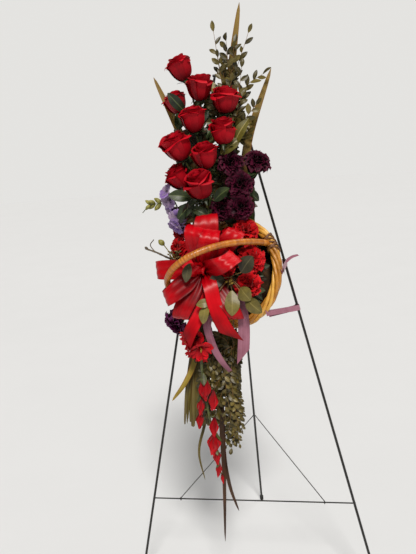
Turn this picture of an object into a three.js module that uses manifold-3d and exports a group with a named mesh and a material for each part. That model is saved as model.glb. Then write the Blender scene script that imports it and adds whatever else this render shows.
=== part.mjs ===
// Standing funeral spray: a wire easel, a tipped willow basket of wet foam, and the flowers,
// leaves and ribbons that stand in it. Millimetres, +Z up, feet on z = 0.
// The layout is written with y = 0 through the two front feet, then moved back as a whole so
// that the origin is under the middle of the part.
import * as THREE from "three";
import { mergeVertices } from "three/addons/utils/BufferGeometryUtils.js";
import Module from "manifold-3d";

const wasm = await Module();
wasm.setup();

// Easel: three legs of black wire, 54 inch class
const LEG_RADIUS = 3.25;
const CROSSBAR_RADIUS = 1.75;
const SPREADER_RADIUS = 1.25;
const FOOT_HALF_SPAN = 308;
const APEX = new THREE.Vector3(0, 131, 1333);
const APEX_HALF_SPAN = 20;
const BACK_FOOT_Y = 435;
const CROSSBAR_Z = 222;
const SPREADER_HALF_SPAN = 187;
const SPREADER_BEND_Z = 315;
const TIP_RADIUS = 5.5;
const TIP_HEIGHT = 14;

// Basket: a shallow willow bowl that faces left and up
const BASKET_CENTRE = new THREE.Vector3(1, 5.5, 835);
const BASKET_TURN = THREE.MathUtils.degToRad(-32);
const BASKET_TIP = THREE.MathUtils.degToRad(15);
const RIM_RADIUS = 126;
const RIM_THICK = 14;
const WALL_RADIUS = 129;
const WALL_THICK = 5;
const BASKET_DEPTH = 80;
const BASKET_FLOOR_RADIUS = 57;
const HANDLE_HEIGHT = 214;
const HANDLE_RADIUS = 7.5;
const HANDLE_TURN = THREE.MathUtils.degToRad(37);
const FOAM_ABOVE_RIM = 24;
const FOAM_RADIUS = 80;
const PICK_RADIUS = 2.6;
const OVER_RIM = 21;
const PICK_DEPTH = 30;

// Heads
const ROSE_RADIUS = 33;
const ROSE_HEIGHT = 68;
const CARNATION_RADIUS = 31;
const STEM_RADIUS = 2;

// Everything is moved by this so that the origin is under the middle of front reach and back foot
const ORIGIN_Y = 130;
const GAP = 0.3;

const v3 = (x, y, z) => new THREE.Vector3(x, y, z);

// Basket frame: h along the rim to the right, u up the rim, n out of the mouth
const n = v3(
  Math.sin(BASKET_TURN) * Math.cos(BASKET_TIP),
  -Math.cos(BASKET_TURN) * Math.cos(BASKET_TIP),
  Math.sin(BASKET_TIP),
);
const h = v3(0, 0, 1).cross(n).normalize();
const u = n.clone().cross(h);
const inBasket = (right, up, out) =>
  BASKET_CENTRE.clone().addScaledVector(h, right).addScaledVector(u, up).addScaledVector(n, out);
const basketMatrix = new THREE.Matrix4().makeBasis(h, u, n).setPosition(BASKET_CENTRE);

// A closed geometry becomes a solid once its shared vertices are merged
function solidOf(geometry, matrix) {
  let merged = geometry.clone();
  merged.deleteAttribute("normal");
  merged.deleteAttribute("uv");
  if (matrix) merged.applyMatrix4(matrix);
  merged = mergeVertices(merged, 1e-4);
  const solid = new wasm.Manifold(new wasm.Mesh({
    numProp: 3,
    vertProperties: new Float32Array(merged.attributes.position.array),
    triVerts: new Uint32Array(merged.index.array),
  }));
  return solid;
}

function geometryOf(solid) {
  const mesh = solid.getMesh();
  const geometry = new THREE.BufferGeometry();
  const position = new THREE.BufferAttribute(new Float32Array(mesh.vertProperties), 3);
  geometry.setAttribute("position", position);
  geometry.setIndex(new THREE.BufferAttribute(new Uint32Array(mesh.triVerts), 1));
  const faceted = geometry.toNonIndexed();
  faceted.computeVertexNormals();
  return faceted;
}

const join = (solids) => solids.reduce((sum, solid) => sum.add(solid));

// The one body of a solid that holds its mass, without loose scraps
function mainBody(solid) {
  const bodies = solid.decompose();
  return bodies.reduce((best, body) => (body.volume() > best.volume() ? body : best));
}

// The same solid with each vertex moved out along its normal, to cut a neighbour clear of it
function grown(solid, by) {
  const mesh = solid.getMesh();
  const geometry = new THREE.BufferGeometry();
  const moved = new THREE.BufferAttribute(new Float32Array(mesh.vertProperties), 3);
  geometry.setAttribute("position", moved);
  geometry.setIndex(new THREE.BufferAttribute(new Uint32Array(mesh.triVerts), 1));
  geometry.computeVertexNormals();
  const normal = geometry.attributes.normal;
  for (let i = 0; i < moved.count; i += 1) {
    moved.setXYZ(
      i,
      moved.getX(i) + normal.getX(i) * by,
      moved.getY(i) + normal.getY(i) * by,
      moved.getZ(i) + normal.getZ(i) * by,
    );
  }
  return new wasm.Manifold(new wasm.Mesh({
    numProp: 3,
    vertProperties: moved.array,
    triVerts: new Uint32Array(mesh.triVerts),
  }));
}

// Basic forms

function rod(from, to, radius, sides = 8) {
  const way = to.clone().sub(from);
  const geometry = new THREE.CylinderGeometry(radius, radius, way.length(), sides);
  const turn = new THREE.Quaternion().setFromUnitVectors(v3(0, 1, 0), way.clone().normalize());
  const middle = from.clone().add(to).multiplyScalar(0.5);
  return solidOf(geometry, new THREE.Matrix4().compose(middle, turn, v3(1, 1, 1)));
}

function circle(radius, sides) {
  const shape = new THREE.Shape();
  for (let i = 0; i < sides; i += 1) {
    const angle = (2 * Math.PI * i) / sides;
    const x = radius * Math.cos(angle);
    const y = radius * Math.sin(angle);
    if (i === 0) shape.moveTo(x, y);
    else shape.lineTo(x, y);
  }
  shape.closePath();
  return shape;
}

// A tube of round section along a smooth curve through the points
function tube(points, radius, sides = 5, steps = 2 * (points.length - 1)) {
  const path = new THREE.CatmullRomCurve3(points, false, "centripetal");
  return solidOf(new THREE.ExtrudeGeometry(circle(radius, sides), { steps, extrudePath: path }));
}

function lathe(profile, segments, matrix) {
  const upright = new THREE.Matrix4().makeRotationX(Math.PI / 2);
  const points = profile.map(([r, z]) => new THREE.Vector2(r, z));
  const placed = matrix ? matrix.clone().multiply(upright) : upright;
  return solidOf(new THREE.LatheGeometry(points, segments), placed);
}

// A ring of round wire about the X axis
function wireEye(centre, radius, wire) {
  const sideways = new THREE.Matrix4().makeRotationY(Math.PI / 2).setPosition(centre);
  return solidOf(new THREE.TorusGeometry(radius, wire, 5, 8), sideways);
}

// A thin closed sheet: point(a, b) with a from 0 to 1 along it and b from -1 to 1 across it
function sheet(point, along, across, thickness) {
  const step = 1e-3;
  const positions = [];
  for (const side of [-0.5, 0.5]) {
    for (let i = 0; i <= along; i += 1) {
      for (let j = 0; j <= across; j += 1) {
        const a = i / along;
        const b = (2 * j) / across - 1;
        const alongWay = point(Math.min(a + step, 1), b).sub(point(Math.max(a - step, 0), b));
        const acrossWay = point(a, b + step).sub(point(a, b - step));
        const normal = alongWay.cross(acrossWay).normalize();
        const place = point(a, b).addScaledVector(normal, side * thickness);
        positions.push(place.x, place.y, place.z);
      }
    }
  }
  const layer = (along + 1) * (across + 1);
  const at = (side, i, j) => side * layer + i * (across + 1) + j;
  const faces = [];
  for (let i = 0; i < along; i += 1) {
    for (let j = 0; j < across; j += 1) {
      const corners = [[i, j], [i + 1, j], [i + 1, j + 1], [i, j + 1]];
      const [a, b, c, d] = corners.map(([x, y]) => at(1, x, y));
      const [e, f, g, k] = corners.map(([x, y]) => at(0, x, y));
      faces.push(a, b, c, a, c, d, e, g, f, e, k, g);
    }
  }
  const edge = [];
  for (let i = 0; i < along; i += 1) edge.push([i, 0]);
  for (let j = 0; j < across; j += 1) edge.push([along, j]);
  for (let i = along; i > 0; i -= 1) edge.push([i, across]);
  for (let j = across; j > 0; j -= 1) edge.push([0, j]);
  edge.forEach(([i, j], place) => {
    const [k, l] = edge[(place + 1) % edge.length];
    faces.push(at(1, k, l), at(1, i, j), at(0, i, j), at(1, k, l), at(0, i, j), at(0, k, l));
  });
  const geometry = new THREE.BufferGeometry();
  geometry.setAttribute("position", new THREE.Float32BufferAttribute(positions, 3));
  geometry.setIndex(faces);
  return solidOf(geometry);
}

// A matrix that puts local +Z along an axis at a point
function standing(origin, axis, spin = 0) {
  const turn = new THREE.Quaternion().setFromUnitVectors(v3(0, 0, 1), axis.clone().normalize());
  turn.multiply(new THREE.Quaternion().setFromAxisAngle(v3(0, 0, 1), spin));
  return new THREE.Matrix4().compose(origin, turn, v3(1, 1, 1));
}

// Leaves

// A long blade along a curve, folded a little at its midrib; width(a) is its half width
function blade(points, facing, width, along, fold, thickness = 0.9) {
  const spine = new THREE.CatmullRomCurve3(points, false, "centripetal");
  return sheet((a, b) => {
    const tangent = spine.getTangent(a);
    const side = tangent.clone().cross(facing).normalize();
    const up = side.clone().cross(tangent);
    const half = width(a);
    return spine.getPoint(a).addScaledVector(side, b * half).addScaledVector(up, fold * half * Math.abs(b));
  }, along, fold > 0 ? 2 : 1, thickness);
}

const swordWidth = (half) => (a) => 0.5 + half * (0.35 + 0.65 * Math.sin(Math.PI * Math.min(0.5, a * 1.2)))
  * Math.sqrt(Math.max(0, 1 - a ** 3));
const ovalWidth = (half) => (a) => 0.5 + half * Math.sin(Math.PI * Math.min(1, a * 0.97 + 0.02)) ** 0.8;

// A broad leaf from its stalk end to its tip, arched towards facing
function broadLeaf(from, to, half, facing, arch = 0.12) {
  const middle = from.clone().lerp(to, 0.5).addScaledVector(facing, arch * from.distanceTo(to));
  return blade([from, middle, to], facing, ovalWidth(half), 3, 0.2, 0.9);
}

// The smallest leaf: a pointed oval, thickest at its middle
function smallLeaf(from, way, facing, length, width) {
  const side = way.clone().cross(facing).normalize();
  const up = side.clone().cross(way).normalize();
  const centre = from.clone().addScaledVector(way, length * 0.5);
  const corners = [
    from,
    from.clone().addScaledVector(way, length).addScaledVector(up, -0.12 * length),
    centre.clone().addScaledVector(side, width / 2),
    centre.clone().addScaledVector(side, -width / 2),
    centre.clone().addScaledVector(up, 1.1),
    centre.clone().addScaledVector(up, -0.7),
  ];
  const geometry = new THREE.BufferGeometry();
  geometry.setAttribute("position", new THREE.Float32BufferAttribute(corners.flatMap((p) => p.toArray()), 3));
  geometry.setIndex([0, 2, 4, 2, 1, 4, 1, 3, 4, 3, 0, 4, 2, 0, 5, 1, 2, 5, 3, 1, 5, 0, 3, 5]);
  return solidOf(geometry);
}

// Small leaves in turn on the two sides of a stem, from the share first of its length
function leafyTwig(points, { pairs, length, width, first, facing }) {
  const path = new THREE.CatmullRomCurve3(points, false, "centripetal");
  const leaves = [];
  for (let i = 0; i < pairs; i += 1) {
    const a = first + ((1 - first) * i) / Math.max(1, pairs - 1);
    const tangent = path.getTangent(a);
    const side = tangent.clone().cross(facing).normalize();
    const sign = i % 2 === 0 ? 1 : -1;
    const lean = i === pairs - 1 ? 0 : 0.9;
    const lift = 0.35 * Math.cos(2.1 * i);
    const way = tangent.clone().addScaledVector(side, sign * lean).addScaledVector(facing, lift).normalize();
    const from = path.getPoint(a).addScaledVector(way, -1);
    const size = 1 - 0.25 * a + 0.12 * Math.sin(3.7 * i);
    leaves.push(smallLeaf(from, way, facing, length * size, width * size));
  }
  return leaves;
}

// A closed body of rings with the same columns, from a first point to a last point.
// ring(row, column) gives each point; heads are one surface, so that their petals never cross.
function rings(rows, columns, ring, first, last, matrix) {
  const positions = [...first.toArray()];
  for (let row = 0; row < rows; row += 1) {
    for (let i = 0; i < columns; i += 1) positions.push(...ring(row, i).toArray());
  }
  positions.push(...last.toArray());
  const at = (row, i) => 1 + row * columns + (i % columns);
  const end = 1 + rows * columns;
  const faces = [];
  for (let i = 0; i < columns; i += 1) {
    faces.push(0, at(0, i + 1), at(0, i), end, at(rows - 1, i), at(rows - 1, i + 1));
    for (let row = 0; row < rows - 1; row += 1) {
      const [a, b, c, d] = [at(row, i), at(row, i + 1), at(row + 1, i + 1), at(row + 1, i)];
      faces.push(a, b, c, a, c, d);
    }
  }
  const geometry = new THREE.BufferGeometry();
  geometry.setAttribute("position", new THREE.Float32BufferAttribute(positions, 3));
  geometry.setIndex(faces);
  return solidOf(geometry, matrix);
}

// Rose: whorls of five and of three petals. A petal starts under its neighbour and ends over
// the next one, so its edge stands proud; lap is that step and peak its pointed tip.
const ROSE_COLUMNS = 15;
const ROSE_RINGS = [
  { petals: 5, r: 0.62, z: 0.12, lap: 0.02, peak: 0 },
  { petals: 5, r: 0.86, z: 0.48, lap: 0.06, peak: 0 },
  { petals: 5, r: 1.06, z: 0.78, lap: 0.07, peak: 0.1 },
  { petals: 5, r: 0.8, z: 0.68, lap: 0.05, peak: 0.04 },
  { petals: 3, r: 0.66, z: 0.88, lap: 0.07, peak: 0.08, shift: 0.4 },
  { petals: 3, r: 0.48, z: 0.84, lap: 0.06, peak: 0.04, shift: 0.4 },
  { petals: 3, r: 0.36, z: 0.7, lap: 0.02, peak: 0, shift: 0.4 },
  { petals: 3, r: 0.22, z: 0.95, lap: 0.08, peak: 0.05, shift: 1.1 },
];

function roseBloom(centre, axis, size, spin) {
  const r = ROSE_RADIUS * size;
  const tall = ROSE_HEIGHT * size;
  const ring = (row, i) => {
    const { petals, r: out, z, lap, peak, shift = 0 } = ROSE_RINGS[row];
    const perPetal = ROSE_COLUMNS / petals;
    const across = (i % perPetal) / (perPetal - 1);
    const angle = ((Math.floor(i / perPetal) + 0.04 + 0.92 * across) * 2 * Math.PI) / petals + 0.1 * shift;
    const radius = r * (out + lap * (2 * across - 1));
    const middle = 1 - (2 * across - 1) ** 2;
    return v3(radius * Math.cos(angle), radius * Math.sin(angle), tall * (z + peak * (middle - 0.5)));
  };
  const base = centre.clone().addScaledVector(axis, -0.45 * tall);
  const matrix = standing(base, axis, spin);
  return rings(ROSE_RINGS.length, ROSE_COLUMNS, ring, v3(0, 0, 0), v3(0, 0, 0.82 * tall), matrix);
}

// The green cup under a bloom, with its five sepals turned out
function calyx(base, axis, radius) {
  const ring = (row, i) => {
    const angle = (Math.PI * i) / 5;
    if (row === 0) return v3(0.5 * radius * Math.cos(angle), 0.5 * radius * Math.sin(angle), -8);
    const reach = radius * (i % 2 === 0 ? 2.5 : 0.8);
    return v3(reach * Math.cos(angle), reach * Math.sin(angle), i % 2 === 0 ? -7.5 : -2.5);
  };
  return rings(2, 10, ring, v3(0, 0, -10), v3(0, 0, -0.5), standing(base, axis));
}

// Where stems are wired together: a small knot, and the place in it where a stem's end starts
const KNOT_RADIUS = 6;
const wireKnot = (at) =>
  solidOf(new THREE.IcosahedronGeometry(KNOT_RADIUS), new THREE.Matrix4().setPosition(at));
const fromKnot = (knot, next) =>
  knot.clone().addScaledVector(next.clone().sub(knot).normalize(), 0.55 * KNOT_RADIUS);

// Carnation: ruffled skirts of toothed petals, one above the other
const CARNATION_TEETH = 12;
const CARNATION_RINGS = [
  { out: 0.36, z: -0.1, wave: 0 }, { out: 1, z: 0.22, wave: 0.15 }, { out: 0.58, z: 0.36, wave: 0.04 },
  { out: 0.86, z: 0.62, wave: -0.15 }, { out: 0.42, z: 0.64, wave: 0 }, { out: 0.48, z: 0.95, wave: 0.16 },
];

function carnation(centre, axis, size, spin) {
  const r = CARNATION_RADIUS * size;
  const ring = (row, i) => {
    const { out, z, wave } = CARNATION_RINGS[row];
    const tooth = i % 2 === 0 ? 1 : -1;
    const angle = (2 * Math.PI * i) / CARNATION_TEETH;
    const reach = r * out * (1 + 0.55 * Math.abs(wave) * tooth + 0.3 * wave * Math.sin(3 * angle + row));
    return v3(reach * Math.cos(angle), reach * Math.sin(angle), r * (z + wave * tooth * 0.7));
  };
  const base = centre.clone().addScaledVector(axis, -0.45 * r);
  return rings(CARNATION_RINGS.length, CARNATION_TEETH, ring, v3(0, 0, -0.2 * r), v3(0, 0, 0.8 * r),
    standing(base, axis, spin));
}

// A trumpet flower: a slim tube that opens into pointed lobes round a deep throat
function trumpet(base, axis, { length, mouth, lobes, spin = 0 }) {
  const rows = [
    { z: 0.08, r: 0.16, lobe: 0 }, { z: 0.62, r: 0.36, lobe: 0.05 }, { z: 1, r: 0.86, lobe: 0.22 },
  ];
  const columns = 2 * lobes;
  const ring = (row, i) => {
    const { z, r, lobe } = rows[row];
    const tooth = i % 2 === 0 ? 1 : -1;
    const angle = (2 * Math.PI * i) / columns;
    const out = mouth * r * (1 + lobe * tooth);
    return v3(out * Math.cos(angle), out * Math.sin(angle), length * (z + 0.05 * tooth * lobe));
  };
  return rings(rows.length, columns, ring, v3(0, 0, 0), v3(0, 0, 0.45 * length), standing(base, axis, spin));
}

// A closed pointed bud
const bud = (base, axis, length, radius, sides = 5) => lathe(
  [[0, 0], [radius * 0.8, length * 0.3], [radius, length * 0.55], [0, length]], sides, standing(base, axis));

// A ribbon along a curve; side is the direction across it and half(a) its half width
function ribbon(points, side, half, along) {
  const path = new THREE.CatmullRomCurve3(points, false, "centripetal");
  const across = side.clone().normalize();
  return sheet((a, b) => path.getPoint(a).addScaledVector(across, b * half(a)), along, 1, 1);
}

// Easel

const frontFoot = (side) => v3(side * FOOT_HALF_SPAN, 0, 0);
const frontTop = (side) => APEX.clone().setX(side * APEX_HALF_SPAN);
const onFrontLeg = (side, z) => frontFoot(side).lerp(frontTop(side), z / APEX.z);
const backFoot = v3(0, BACK_FOOT_Y, 0);
const onBackLeg = (z) => backFoot.clone().lerp(APEX, z / APEX.z);
const crossbarY = onFrontLeg(1, CROSSBAR_Z).y + LEG_RADIUS + CROSSBAR_RADIUS + GAP;

const solids = new Map();
const slots = new Map();
function add(name, slot, solid) {
  solids.set(name, solid);
  slots.set(name, slot);
}

function easel() {
  const pin = rod(APEX.clone().setX(-26), APEX.clone().setX(26), LEG_RADIUS);
  add("hinge_pin", "wire", pin);
  const socket = grown(pin, GAP);
  for (const [name, side] of [["left", -1], ["right", 1]]) {
    const leg = rod(onFrontLeg(side, 2), frontTop(side), LEG_RADIUS);
    add(`leg_${name}`, "wire", mainBody(leg.subtract(socket)));
    add(`foot_${name}`, "rubber", footTip(frontFoot(side), solids.get(`leg_${name}`)));
  }
  const eyeRadius = LEG_RADIUS + 0.9 + 2.6;
  const down = onBackLeg(0).sub(APEX).normalize();
  const shank = rod(onBackLeg(2), APEX.clone().addScaledVector(down, eyeRadius), LEG_RADIUS);
  add("leg_back", "wire", shank.add(wireEye(APEX, eyeRadius, 2.6)));
  add("foot_back", "rubber", footTip(backFoot, solids.get("leg_back")));
  const barEnd = onFrontLeg(1, CROSSBAR_Z).x + LEG_RADIUS;
  add("crossbar", "wire", rod(v3(-barEnd, crossbarY, CROSSBAR_Z), v3(barEnd, crossbarY, CROSSBAR_Z),
    CROSSBAR_RADIUS, 8));
  for (const [name, side] of [["left", -1], ["right", 1]]) add(`spreader_${name}`, "wire", spreaderArm(side));
}

// A soft cap on a leg's end, flat under the foot
function footTip(foot, leg) {
  const cap = rod(foot.clone(), foot.clone().setZ(TIP_HEIGHT), TIP_RADIUS, 8);
  return mainBody(cap.subtract(grown(leg, GAP)));
}

// Half of the bent spreader wire: an eye round the crossbar, and an arm that ends behind the back leg
function spreaderArm(side) {
  const eyeRadius = CROSSBAR_RADIUS + 0.6 + SPREADER_RADIUS;
  const eye = v3(side * SPREADER_HALF_SPAN, crossbarY, CROSSBAR_Z);
  const legAt = onBackLeg(SPREADER_BEND_Z);
  const clear = LEG_RADIUS + SPREADER_RADIUS + 0.6;
  const beside = v3(side * (clear + 1.5), legAt.y - 2, SPREADER_BEND_Z - 1);
  const way = beside.clone().sub(eye).normalize();
  const start = eye.clone().addScaledVector(v3(0, way.y, way.z).normalize(), eyeRadius).setX(eye.x);
  const behind = v3(side * 3.4, legAt.y + clear * 0.85, SPREADER_BEND_Z + 1);
  const middle = v3(-side, legAt.y + clear * 1.15, SPREADER_BEND_Z + 1.4);
  const arm = rod(start, beside, SPREADER_RADIUS, 5);
  const bend = tube([beside.clone().addScaledVector(way, -1), beside, behind, middle], SPREADER_RADIUS, 5, 4);
  const half = join([arm, bend, wireEye(eye, eyeRadius, SPREADER_RADIUS)]);
  return mainBody(half.trimByPlane([side, 0, 0], GAP / 2));
}

// Basket

// The bowl's outer radius at a height under the rim
const bowlRadius = (z) => BASKET_FLOOR_RADIUS
  + (WALL_RADIUS - BASKET_FLOOR_RADIUS) * Math.sin((Math.PI / 2) * (1 + z / BASKET_DEPTH));
const WALL_TOP = -RIM_THICK * Math.sin(Math.PI / 3) - GAP;
const WALL_FLOOR = WALL_THICK - BASKET_DEPTH;
const LINER_CLEAR = 4;
const LINER_WALL = 1.5;

// The points of a bowl's profile at even heights, held in from the outer radius
function bowlProfile(low, high, rows, inset) {
  return Array.from({ length: rows + 1 }, (_, i) => {
    const z = low + ((high - low) * i) / rows;
    return [bowlRadius(z) - inset, z];
  });
}

// The bowl: stakes and weavers raised on its outer side by a formula
function basketWall() {
  const columns = 22;
  const rows = 4;
  const outer = bowlProfile(-BASKET_DEPTH, WALL_TOP, rows, 0);
  const inner = bowlProfile(WALL_FLOOR, WALL_TOP, 2, WALL_THICK).reverse();
  const outline = [[0, -BASKET_DEPTH], ...outer, ...inner, [0, WALL_FLOOR]];
  const profile = outline.map(([r, z]) => new THREE.Vector2(r, z));
  const geometry = new THREE.LatheGeometry(profile, columns);
  const position = geometry.attributes.position;
  for (let i = 0; i < position.count; i += 1) {
    const row = i % profile.length;
    if (row >= 2 && row <= rows) {
      const column = Math.floor(i / profile.length) % columns;
      const raise = (row + column) % 2 === 0 ? 1.6 : -0.6;
      const r = Math.hypot(position.getX(i), position.getZ(i));
      position.setX(i, position.getX(i) * (1 + raise / r));
      position.setZ(i, position.getZ(i) * (1 + raise / r));
    }
  }
  const upright = new THREE.Matrix4().makeRotationX(Math.PI / 2);
  return solidOf(geometry, basketMatrix.clone().multiply(upright));
}

// The braided rim: a ring whose strands cross slantwise
function basketRim() {
  const geometry = new THREE.TorusGeometry(RIM_RADIUS, RIM_THICK, 6, 33);
  const position = geometry.attributes.position;
  for (let i = 0; i < position.count; i += 1) {
    const p = v3(position.getX(i), position.getY(i), position.getZ(i));
    const round = Math.atan2(p.y, p.x);
    const ring = v3(Math.cos(round), Math.sin(round), 0).multiplyScalar(RIM_RADIUS);
    const off = p.clone().sub(ring);
    const over = Math.atan2(off.z, off.dot(ring) / RIM_RADIUS);
    const strand = 0.08 * (1 + Math.sin(over)) * (1 - Math.cos(2 * over + 11 * round));
    const placed = ring.add(off.multiplyScalar(1 - strand));
    position.setXYZ(i, placed.x, placed.y, placed.z);
  }
  return solidOf(geometry, basketMatrix);
}

function basketHandle() {
  const span = RIM_RADIUS - 2;
  const foot = 0.55 * RIM_THICK;
  const points = [];
  for (let i = 0; i <= 12; i += 1) {
    const angle = (Math.PI * i) / 12;
    const lateral = span * Math.cos(angle);
    points.push(inBasket(lateral * Math.cos(HANDLE_TURN), lateral * Math.sin(HANDLE_TURN),
      foot + (HANDLE_HEIGHT - foot) * Math.sin(angle)));
  }
  return tube(points, HANDLE_RADIUS, 6, 18);
}

// A thin bowl of plastic that holds the water
function liner() {
  const floor = WALL_FLOOR + GAP;
  const inset = WALL_THICK + LINER_CLEAR;
  const outer = bowlProfile(floor, WALL_TOP - 6, 2, inset);
  const inner = bowlProfile(floor + LINER_WALL, WALL_TOP - 6, 2, inset + LINER_WALL).reverse();
  return lathe([[0, floor], ...outer, ...inner, [0, floor + LINER_WALL]], 15, basketMatrix);
}

function foamBlock() {
  const bottom = WALL_FLOOR + LINER_WALL + 2 * GAP;
  const inset = WALL_THICK + LINER_CLEAR + LINER_WALL + 4;
  return lathe([[0, bottom], [bowlRadius(bottom) - inset, bottom], [bowlRadius(-45) - inset, -45],
    [FOAM_RADIUS, -12], [FOAM_RADIUS, FOAM_ABOVE_RIM - 8], [FOAM_RADIUS - 10, FOAM_ABOVE_RIM],
    [0, FOAM_ABOVE_RIM]], 9, basketMatrix);
}

function basket() {
  add("basket_rim", "willow", basketRim());
  add("basket_wall", "willow_dark", basketWall());
  const rim = grown(solids.get("basket_rim"), GAP);
  add("basket_handle", "willow", mainBody(basketHandle().subtract(rim)));
  add("liner", "liner", liner());
}

// Cut flowers. Each bunch is wired to a wood pick that stands in a plain hole in the foam.

// Where a pick leaves the foam: on its side, as an angle round the basket and a height over the
// rim's plane, or on its front, as distances right and up of the middle
const SIDE_PICKS = {
  sword_leaf_centre: [90, 2], sword_leaf_left: [112, 2], sword_leaf_right: [64, 2], ruscus: [77, 4],
  rose_greens_low: [97, 13], rose_greens_high: [120, 10], dark_carnation_greens: [79, 14],
  freesia_greens: [140, 8], side_carnation_greens: [156, 8], twig: [172, 8], flax_leaf_olive: [231, 8],
  bear_grass: [243, 0], gladiolus_greens: [252, 12], flax_leaves_bronze: [267, 6], huckleberry: [283, 10],
};
const FRONT_PICKS = {
  ribbon_tails: [24, -50], eucalyptus: [40, -18], bow: [-34, 10], red_carnation_greens: [10, 8],
};
const picks = new Map();

// Puts in the pick of a bunch, and gives the points its stems begin with: just outside the foam,
// and for a side pick also over the basket's rim
function pick(name) {
  let exit = null;
  let inward = n.clone().negate();
  const start = [];
  if (name in SIDE_PICKS) {
    const [turn, out] = SIDE_PICKS[name];
    const angle = THREE.MathUtils.degToRad(turn);
    const at = (radius, height) => inBasket(radius * Math.cos(angle), radius * Math.sin(angle), height);
    exit = at(FOAM_RADIUS + 3, out);
    inward = at(0, out - 10).sub(exit).normalize();
    start.push(at(RIM_RADIUS - 4, Math.max(OVER_RIM, out + 8)));
  } else {
    exit = inBasket(...FRONT_PICKS[name], FOAM_ABOVE_RIM + 4);
  }
  const along = (distance) => exit.clone().addScaledVector(inward, distance);
  picks.set(name, {
    body: rod(along(PICK_DEPTH), exit, PICK_RADIUS, 4),
    hole: rod(along(PICK_DEPTH + GAP), along(-GAP), PICK_RADIUS + 1.5 * GAP, 4),
  });
  return [along(1.5), ...start];
}

const cores = new Map();
const leaves = new Map();
function greens(name, slot, coreSolids, leafSolids = []) {
  cores.set(name, join([picks.get(name).body, ...coreSolids]));
  leaves.set(name, leafSolids);
  slots.set(name, slot);
}

const points3 = (way) => way.map((p) => v3(...p));

// The point of a set of curves that is nearest to a given one
function nearestOn(ways, point) {
  let best = ways[0][0];
  for (const way of ways) {
    const curve = new THREE.CatmullRomCurve3(way, false, "centripetal");
    for (const candidate of curve.getPoints(24)) {
      if (candidate.distanceTo(point) < best.distanceTo(point)) best = candidate;
    }
  }
  return best;
}

// centre, axis and size of each rose, from the top of the spray down
const ROSES = [
  { at: [-91, 20, 1342], face: [-0.35, -0.25, 1], size: 0.98, spin: 0.3, bunch: "rose_greens_high" },
  { at: [-45, -8, 1288], face: [0.05, -0.3, 1], size: 1.0, spin: 1.4, bunch: "rose_greens_high" },
  { at: [12, -8, 1253], face: [0.05, -0.25, 1], size: 1.02, spin: 2.2, bunch: "rose_greens_high" },
  { at: [-112, 34, 1264], face: [-0.3, -0.1, 1], size: 0.88, spin: 0.9, bunch: "rose_greens_high" },
  { at: [-64, -36, 1212], face: [-0.12, -0.35, 1], size: 0.98, spin: 2.9, bunch: "rose_greens_low" },
  { at: [4, -40, 1178], face: [0.0, -0.25, 1], size: 0.98, spin: 0.1, bunch: "rose_greens_low",
    by: [-26, -10, 1110] },
  { at: [-103, -58, 1150], face: [-0.45, -0.55, 1], size: 1.1, spin: 1.9, bunch: "rose_greens_low",
    by: [-58, -30, 1083] },
  { at: [-38, -68, 1124], face: [-0.1, -0.45, 1], size: 0.98, spin: 0.5, bunch: "rose_greens_low" },
  { at: [-110, -28, 1080], face: [-0.65, -0.45, 1], size: 0.96, spin: 2.5, bunch: "rose_greens_low" },
  { at: [-54, -88, 1056], face: [-0.2, -0.7, 1], size: 1.08, spin: 1.1, bunch: "rose_greens_low" },
];
const ROSE_KNOTS = { rose_greens_high: [-48, 30, 1090], rose_greens_low: [-46, -10, 985] };
// stalk end, tip and half width of the roses' own leaves
const ROSE_LEAVES = {
  rose_greens_high: [
    [[-84, 0, 1236], [-122, -18, 1286], 13],
    [[-70, 22, 1196], [-104, 6, 1236], 13], [[-14, 24, 1160], [36, 18, 1206], 13],
  ],
  rose_greens_low: [
    [[-6, -26, 1128], [44, -24, 1160], 16], [[22, -18, 1140], [66, -22, 1206], 14],
    [[-28, -38, 1020], [12, -62, 1048], 14],
    [[-80, -26, 1030], [-138, -38, 1042], 15],
  ],
};

function roses() {
  const front = v3(-0.2, -0.9, 0.3).normalize();
  for (const [bunch, knotAt] of Object.entries(ROSE_KNOTS)) {
    const knot = v3(...knotAt);
    const root = pick(bunch);
    const ways = [[...root, fromKnot(knot, root[root.length - 1])]];
    const cups = [wireKnot(knot)];
    ROSES.forEach((rose, i) => {
      if (rose.bunch !== bunch) return;
      const axis = v3(...rose.face).normalize();
      const centre = v3(...rose.at);
      const base = centre.clone().addScaledVector(axis, -0.45 * ROSE_HEIGHT * rose.size);
      const name = `rose_${String(i + 1).padStart(2, "0")}`;
      solids.set(name, roseBloom(centre, axis, rose.size, rose.spin));
      slots.set(name, "rose_petal");
      const rest = [base.clone().addScaledVector(axis, -30), base.clone().addScaledVector(axis, -7)];
      if (rose.by) rest.unshift(v3(...rose.by));
      ways.push([fromKnot(knot, rest[0]), ...rest]);
      cups.push(calyx(base, axis, 8.5));
    });
    const stemTubes = ways.map((way) => tube(way, STEM_RADIUS, 4, 3));
    const stalks = ROSE_LEAVES[bunch].map(([from]) => {
      const start = v3(...from);
      return rod(nearestOn(ways, start), start, 1.1, 3);
    });
    const blades = ROSE_LEAVES[bunch].map(([from, to, half]) => (
      broadLeaf(v3(...from), v3(...to), half, front)
    ));
    greens(bunch, "rose_green", [...stemTubes, ...cups, ...stalks], blades);
  }
}

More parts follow.
